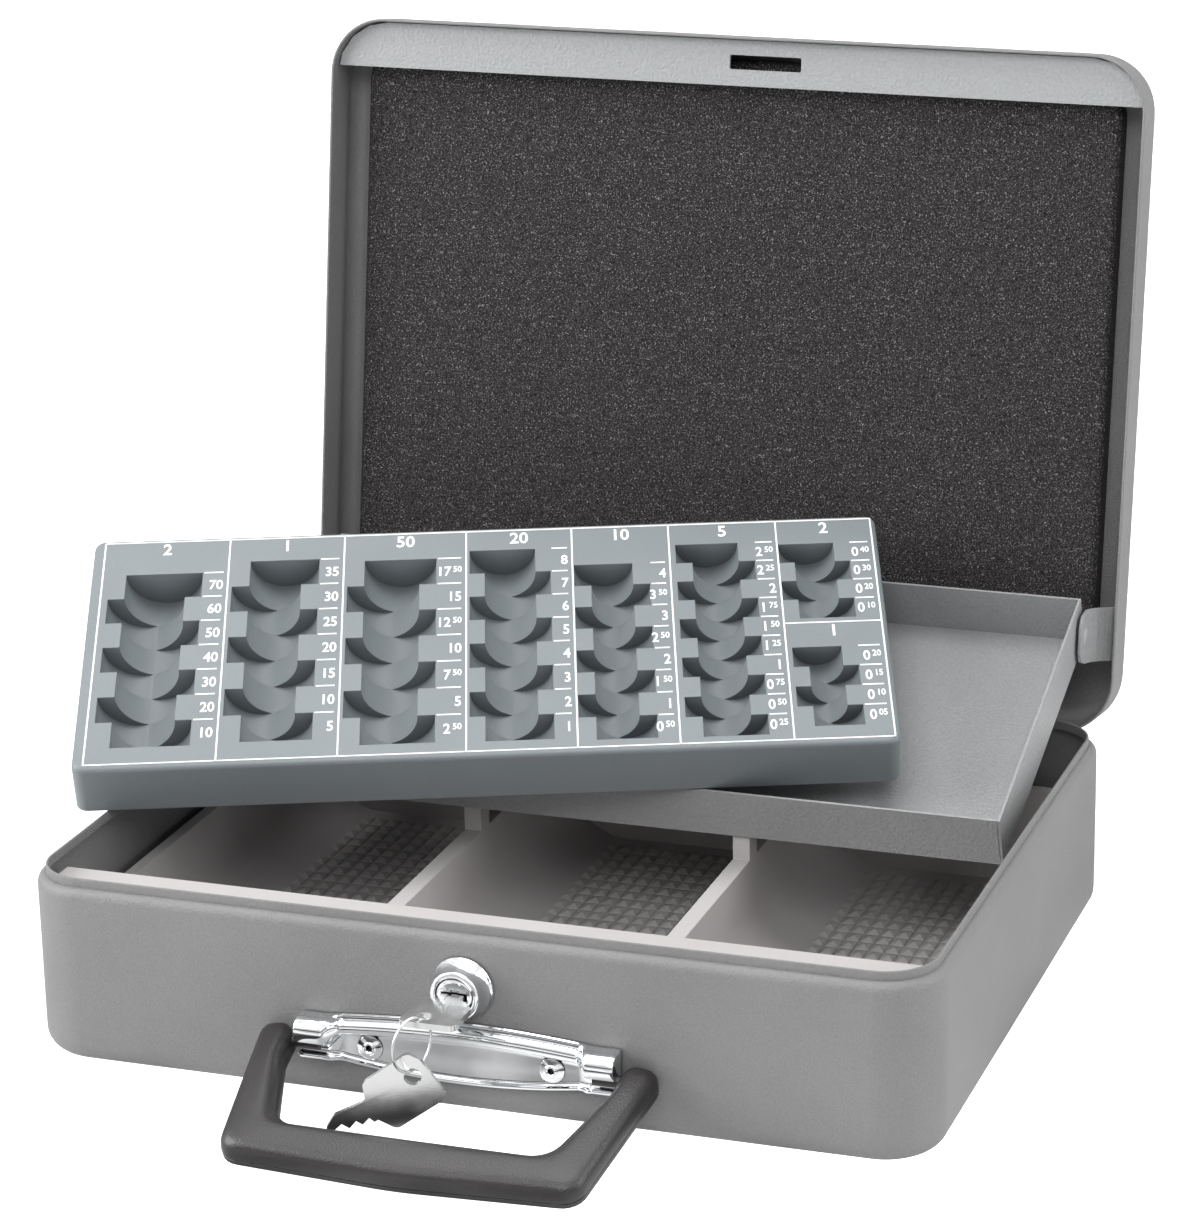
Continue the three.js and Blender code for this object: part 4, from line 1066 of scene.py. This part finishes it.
def rivets():
    """Hollow rivets of the bracket: domed heads with a bore."""
    head = LOCK.y - 2 * GAP - 1.0
    tail = LOCK.y + SHEET + GAP
    for side, name in ((-1, "bracket_rivet_left"), (1, "bracket_rivet_right")):
        profile = [(0.0, head + 1.2), (1.0, head + 1.0), (1.0, head - 1.1), (1.2, head - 1.35)]
        profile += [(1.5, head - 1.5), (1.85, head - 1.4), (2.1, head - 1.15), (2.25, head - 0.95)]
        profile += [(3.75, head - 0.45), (4.05, head - 0.3), (4.15, head)]
        profile += [(2.2, head), (2.2, tail), (3.1, tail), (3.0, tail + 0.6)]
        profile += [(0.0, tail + 0.75)]
        mesh = lathed(name + "_fine", profile, (side * RIVET_X, 0.0, RIVET_Z), steps=48)
        show(name + "_fine", mesh, "base", "chrome", [name])


def bracket_section(x, blend):
    """Outline of the pressed bracket at a place: centre plate at 0, bulged end at 1."""
    wall = LOCK.y - GAP
    bow = max(1 - (x / 44.0) ** 2, 0)
    top = 29.3 + 2.4 * bow
    low = 15.2 - 3.8 * bow

    def mix(a, b):
        return a + (b - a) * blend

    lip = mix(2.4, 5.2)
    points = [(0.0, top - 0.2), (mix(0.9, 2.4), top), (mix(1.4, 3.4), top - mix(0.3, 0.1))]
    points += [(mix(1.45, 4.0), top - mix(0.8, 0.15)), (mix(1.2, 4.75), top - mix(1.4, 0.0))]
    points += arc((mix(1.0, 4.75), top - mix(4.2, 4.5)), mix(2.7, 4.5), mix(76, 80), mix(-76, -62), 14)
    points += [
        (mix(1.15, 4.6), mix(top - 7.0, 19.9)), (mix(1.0, 3.8), mix(top - 7.4, 19.4)),
        (mix(1.0, 3.2), mix(top - 8.2, 19.0)), (mix(1.0, 2.7), mix(low + 6.0, 18.4)),
        (mix(1.0, 2.4), mix(low + 2.6, 17.6)), (mix(1.1, 2.5), mix(low + 1.9, 17.0)),
        (mix(1.5, 2.9), low + 1.3), (lip - 0.5, low + 1.15), (lip - 0.1, low + 1.0), (lip, low + 0.55),
        (lip - 0.2, low + 0.15), (lip - 0.7, low), (0.0, low), (0.0, 22.0),
    ]
    return [(x, wall - o, z) for o, z in points]


def handle_bracket():
    """Pressed bracket: its section changes from the flat plate to the bulged ends."""
    places = [52.5, 52.3, 51.6, 47.5, 44.5]
    places += [43.5 - 0.5 * k for k in range(11)] + [37 - 2.5 * k for k in range(15)]
    places = [-x for x in places] + [0] + places[::-1]
    stations = []
    for x in places:
        share = min(max((abs(x) - 38.5) / 5.0, 0), 1)
        blend = share * share * (3 - 2 * share)
        section = bracket_section(x, blend)
        pull = {52.5: 0.55, 52.3: 0.2}.get(abs(x), 0.0)
        middle = sum((Vector(p) for p in section), Vector()) / len(section)
        stations.append([middle.lerp(Vector((x, *p[1:])), 1 - pull / 6) for p in section])
    mesh = skinned("bracket_pressing", stations)
    show("bracket_pressing", mesh, "base", "chrome", ["handle_bracket"], angle=40)


def keys():
    """Key in the lock, ring and spare key, with milled grooves."""
    grooves = [((LOCK.x - 1.6, -130.5, 43.75), (LOCK.x - 0.6, -118, 44.2))]
    mesh = carved(copied("key_in_lock"), blocks(grooves), own=False)
    bevelled(show("key_in_lock_fine", mesh, "lock", "key_metal", ["key_in_lock"]), 0.3)
    yaw, up = radians(RING_TURN), Vector((0, 0, 1))
    way = Vector((-sin(yaw), -cos(yaw), 0))
    across = way.cross(up)
    chord = sqrt(RING_RADIUS**2 - RING_DROP**2)
    middle = HOLE + way * chord - up * RING_DROP
    around, sides, wire = 120, 12, RING_WIRE - RING_SLACK
    stations = []
    for k in range(around):
        turn = 2 * pi * k / around
        spoke = way * cos(turn) + up * sin(turn)
        section = arc((RING_RADIUS, 0.0), wire, 0, 360 - 360 / sides, sides - 1)
        stations.append([middle + spoke * reach + across * side for reach, side in section])
    ring = skinned("key_ring_wire", stations, looped=True)
    show("key_ring_wire", ring, "ring", "key_metal", ["key_ring"])
    hang = middle - up * (RING_RADIUS - 2 * RING_WIRE + SPARE_DROP)
    place = Matrix.Translation(hang) @ Matrix.Rotation(radians(SPARE_TURN), 4, "Z")
    place = place @ Matrix.Translation(-SPARE_HOLE)
    place = place @ Matrix.Rotation(radians(SPARE_LEAN), 4, "Y")
    cuts = []
    for side, lift in product((-1, 1), (0.0, 2.4)):
        cuts.append(((-14.5, side * 0.62, lift), (14.0, side * 1.2, lift + 0.9)))
    mesh = carved(copied("spare_key"), blocks(cuts, place), own=False)
    bevelled(show("spare_key_fine", mesh, "spare", "key_metal", ["spare_key"]), 0.25)


def rounded_path(corners, steps):
    """A polyline whose inner corners are rounded: (x, y, radius) in, (x, y) out."""
    path = []
    for i, (x, y, radius) in enumerate(corners):
        here = Vector((x, y))
        if radius == 0 or i in (0, len(corners) - 1):
            path.append(here)
            continue
        back = (Vector(corners[i - 1][:2]) - here).normalized()
        on = (Vector(corners[i + 1][:2]) - here).normalized()
        half = back.angle(on) / 2
        reach = radius / tan(half)
        middle = here + (back + on).normalized() * (radius / sin(half))
        first = here + back * reach - middle
        turn = first.angle_signed(here + on * reach - middle)
        for k in range(steps + 1):
            spoke = first.copy()
            spoke.rotate(Matrix.Rotation(-turn * k / steps, 2))
            path.append(middle + spoke)
    return path


def spaced(path, count):
    """Points at equal steps along a path."""
    lengths = [0.0]
    for a, b in zip(path, path[1:]):
        lengths.append(lengths[-1] + (b - a).length)
    out = []
    for k in range(count):
        want = lengths[-1] * k / (count - 1)
        i = max(j for j in range(len(lengths)) if lengths[j] <= want + 1e-9)
        i = min(i, len(path) - 2)
        step = lengths[i + 1] - lengths[i]
        out.append(path[i].lerp(path[i + 1], (want - lengths[i]) / step if step else 0))
    return out


# The handle's upper face, from the window to the outer edge: a bevel, a crest and a crown.
CROWN_SHARES = (
    (-1.0, 0.0), (-0.99, 0.3), (-0.96, 0.5), (-0.9, 0.62), (-0.8, 0.75), (-0.66, 0.89), (-0.52, 0.97),
    (-0.38, 1.0), (-0.2, 0.995), (0.05, 0.97), (0.3, 0.925), (0.52, 0.87), (0.7, 0.8), (0.83, 0.7),
    (0.92, 0.56), (0.97, 0.4), (0.99, 0.22), (1.0, 0.0),
)


def handle():
    """Moulded handle: a crowned bar bent round the window, with a seam on its outer edge."""
    foot = -HANDLE_REACH - 0.35
    outer = [(-66, 4.6, 0), (-57.6, -53.1, 7), (0, foot, 160), (57.6, -53.1, 7), (66, 4.6, 0)]
    inner = [(-54, 4.6, 0), (-53.1, -9.4, 7), (-43.5, -38.9, 10)]
    inner += [(43.5, -38.9, 10), (53.1, -9.4, 7), (54, 4.6, 0)]
    count = 121
    rim = spaced(rounded_path(outer, 12), count)
    window = spaced(rounded_path(inner, 12), count)
    stations = []
    for k in range(count):
        a, b = window[k], rim[k]
        along = k / (count - 1)
        end = min(along, 1 - along) * GRIP_LENGTH
        cap = sqrt(max(1 - (1 - min(end / GRIP_END, 1)) ** 2, 0.04))
        middle = (a + b) / 2
        half = (b - a) / 2 * (0.45 + 0.55 * cap)
        thick = HANDLE_THICK / 2 * (0.4 + 0.6 * cap)
        section = []
        seam = SEAM * (thick / HANDLE_THICK * 2)
        for t, share in CROWN_SHARES:
            p = middle + half * t
            section.append((p.x, p.y, seam + (thick - seam) * share))
        length = half.length
        for step, dip in ((-0.25, 0.1), (-0.45, 0.5), (-0.65, 0.1)):
            p = middle + half * (1 - dip / length)
            section.append((p.x, p.y, seam + step * cap))
        for k_side in range(1, 16):
            t = sin((1 - 2 * k_side / 16) * pi / 2)
            power = 5.0 if t > 0 else 2.5
            drop = max(1 - abs(t) ** power, 0) ** (1 / power)
            p = middle + half * t
            section.append((p.x, p.y, seam - 0.7 * cap - (thick + seam - 0.7 * cap) * drop))
        stations.append(section)
    mesh = skinned("handle_moulding", stations, handle_matrix())
    parts = [mesh]
    for low, high in ((-57.0, -45.0), (45.0, 57.0)):
        pin = [(0, low), (1.9, low), (1.9, high), (0, high)]
        parts.append(lathed("pin", pin, tuple(PIVOT), "X", 24))
    mesh = joined(parts, "handle_moulding")
    show("handle_moulding", mesh, "handle", "grip_plastic", ["handle_grip"], angle=38)


def camera():
    """The photograph's viewpoint, in millimetres."""
    azimuth, elevation, roll = (radians(a) for a in CAMERA_ANGLES)
    view = Matrix.Rotation(azimuth, 4, "Z") @ Matrix.Rotation(pi / 2 - elevation, 4, "X")
    view = view @ Matrix.Translation(Vector(CAMERA_PLACE) * MM) @ Matrix.Rotation(roll, 4, "Z")
    data = bpy.data.cameras.new("photo_camera")
    data.sensor_fit = "AUTO"
    data.sensor_width = 36
    width, height = PICTURE
    data.lens = FOCAL * data.sensor_width / height
    data.shift_x = (width / 2 - CENTRE[0]) / height
    data.shift_y = (CENTRE[1] - height / 2) / height
    data.clip_end = 20
    made = added("photo_camera", data)
    made.matrix_world = Matrix.Translation((0, 0, CAMERA_HEIGHT * MM)) @ view
    bpy.context.scene.camera = made


def lamp(name, place, size, power):
    data = bpy.data.lights.new(name, "AREA")
    data.shape = "RECTANGLE"
    data.size, data.size_y = size
    data.energy = power
    turn = (LAMP_AIM - Vector(place)).to_track_quat("-Z", "Y").to_matrix().to_4x4()
    added(name, data).matrix_world = Matrix.Translation(place) @ turn


def surroundings():
    """World: white to the camera, a banded studio to reflections and an even glow to the rest."""
    world = bpy.data.worlds.new("studio")
    bpy.context.scene.world = world
    world.use_nodes = True
    tree = world.node_tree
    tree.nodes.clear()
    place = add_node(tree, "ShaderNodeTexCoord").outputs["Generated"]
    split = add_node(tree, "ShaderNodeSeparateXYZ", {"Vector": place})
    bands = add_node(tree, "ShaderNodeValToRGB", {"Fac": split.outputs["Z"]})
    stops = bands.color_ramp.elements
    stops[0].color = (0.95, 0.95, 0.95, 1)
    stops[1].color = (1.3, 1.3, 1.3, 1)
    for position, level in ((0.1, 0.95), (0.16, 0.16), (0.26, 0.2), (0.34, 1.0), (0.7, 1.5)):
        stops.new(position).color = (level, level, level, 1)
    patches = ranged(tree, cloudy(tree, place, 2.2, 1), 0.42, 0.58, 0.7, 1.1)
    path = add_node(tree, "ShaderNodeLightPath").outputs
    shown = None
    for colour, strength, ray in (
        ((1, 1, 1, 1), AMBIENT, None), (bands.outputs["Color"], patches, "Is Glossy Ray"),
        ((1, 1, 1, 1), 1.0, "Is Camera Ray"),
    ):
        inputs = {"Color": colour, "Strength": strength}
        look = add_node(tree, "ShaderNodeBackground", inputs).outputs["Background"]
        if ray:
            look = add_node(tree, "ShaderNodeMixShader", {0: path[ray], 1: shown, 2: look}).outputs[0]
        shown = look
    add_node(tree, "ShaderNodeOutputWorld", {"Surface": shown})


def floor():
    """A pale floor that keeps the object's shadow and shows white to the camera."""
    points = [(-3000, -3000, -0.4), (3000, -3000, -0.4), (3000, 3000, -0.4), (-3000, 3000, -0.4)]
    mesh = mesh_from("studio_floor", points, [(0, 1, 2, 3)])
    made, tree, shader, place = start_material("pale_floor")
    shader.inputs["Base Color"].default_value = (*linear("#f4f4f4"), 1)
    shader.inputs["Roughness"].default_value = 0.9
    path = add_node(tree, "ShaderNodeLightPath").outputs
    # Painted reflections: to glossy rays the floor glows with lighter and darker patches, standing in for
    # a studio's lights and shade.
    patches = ranged(tree, cloudy(tree, place, 16, 1), 0.38, 0.56, 0.45, 1.3)
    level = maths(tree, "MULTIPLY_ADD", path["Is Camera Ray"], 1.15, patches)
    glow = add_node(tree, "ShaderNodeEmission", {"Color": (1, 1, 1, 1), "Strength": level})
    either = maths(tree, "MAXIMUM", path["Is Camera Ray"], path["Is Glossy Ray"])
    share = maths(tree, "MULTIPLY", either, 0.8)
    inputs = {0: share, 1: shader.outputs["BSDF"], 2: glow.outputs["Emission"]}
    mix = add_node(tree, "ShaderNodeMixShader", inputs)
    tree.links.new(mix.outputs["Shader"], tree.nodes["Material Output"].inputs["Surface"])
    mesh.materials.append(made)
    added("studio_floor", mesh)


class CASHBOX_OT_stage(bpy.types.Operator):
    """Camera, lamps, surroundings and floor"""

    bl_idname = "cash_box.stage"
    bl_label = "Stage"

    def execute(self, context):
        camera()
        surroundings()
        floor()
        for entry in LAMPS:
            lamp(*entry)
        context.scene.view_settings.view_transform = "Standard"
        return {"FINISHED"}


class CASHBOX_OT_shells(bpy.types.Operator):
    """Powder coated base and lid"""

    bl_idname = "cash_box.shells"
    bl_label = "Base and lid"

    def execute(self, context):
        base_shell()
        lid_shell()
        return {"FINISHED"}


class CASHBOX_OT_lining(bpy.types.Operator):
    """Foam lining and strike plate inside the lid"""

    bl_idname = "cash_box.lining"
    bl_label = "Lining and strike plate"

    def execute(self, context):
        foam_lining()
        strike_plate()
        return {"FINISHED"}


class CASHBOX_OT_coins(bpy.types.Operator):
    """Coin tray with its channels and printed scale"""

    bl_idname = "cash_box.coins"
    bl_label = "Coin tray"

    def execute(self, context):
        coin_tray()
        coin_scale()
        return {"FINISHED"}


class CASHBOX_OT_notes(bpy.types.Operator):
    """Folded sheet note tray"""

    bl_idname = "cash_box.notes"
    bl_label = "Note tray"

    def execute(self, context):
        note_tray()
        return {"FINISHED"}


class CASHBOX_OT_insert(bpy.types.Operator):
    """Plastic insert with its fields of pyramids"""

    bl_idname = "cash_box.insert"
    bl_label = "Insert"

    def execute(self, context):
        insert_tray()
        return {"FINISHED"}


class CASHBOX_OT_hinges(bpy.types.Operator):
    """Hinges, tray tabs and their rivets"""

    bl_idname = "cash_box.hinges"
    bl_label = "Hinges and tabs"

    def execute(self, context):
        hinges()
        tray_tabs()
        return {"FINISHED"}


class CASHBOX_OT_lock(bpy.types.Operator):
    """Cam lock with its keys and ring"""

    bl_idname = "cash_box.lock"
    bl_label = "Lock and keys"

    def execute(self, context):
        lock_parts()
        keys()
        return {"FINISHED"}


class CASHBOX_OT_handle(bpy.types.Operator):
    """Handle, its bracket and rivets"""

    bl_idname = "cash_box.handle"
    bl_label = "Handle and bracket"

    def execute(self, context):
        handle_bracket()
        rivets()
        handle()
        return {"FINISHED"}


OPERATORS = (
    CASHBOX_OT_stage, CASHBOX_OT_shells, CASHBOX_OT_lining, CASHBOX_OT_coins, CASHBOX_OT_notes,
    CASHBOX_OT_insert, CASHBOX_OT_hinges, CASHBOX_OT_lock, CASHBOX_OT_handle,
)


class CASHBOX_PT_panel(bpy.types.Panel):
    """Sizes, colours and pieces of the cash box"""

    bl_idname = "CASHBOX_PT_panel"
    bl_label = "Cash box"
    bl_space_type = "VIEW_3D"
    bl_region_type = "UI"
    bl_category = "Cash box"

    def draw(self, context):
        for group in (context.scene.cash_box_colours, context.scene.cash_box_sizes):
            for name in group.__annotations__:
                self.layout.prop(group, name)
        for operator in OPERATORS:
            self.layout.operator(operator.bl_idname)


CLASSES = (CashBoxColours, CashBoxSizes, *OPERATORS, CASHBOX_PT_panel)


def register():
    for entry in CLASSES:
        bpy.utils.register_class(entry)
    bpy.types.Scene.cash_box_colours = bpy.props.PointerProperty(type=CashBoxColours)
    bpy.types.Scene.cash_box_sizes = bpy.props.PointerProperty(type=CashBoxSizes)


def unregister():
    del bpy.types.Scene.cash_box_sizes
    del bpy.types.Scene.cash_box_colours
    for entry in reversed(CLASSES):
        bpy.utils.unregister_class(entry)


def main():
    register()
    for operator in OPERATORS:
        getattr(bpy.ops.cash_box, operator.bl_idname.split(".")[1])()


if __name__ == "__main__":
    main()
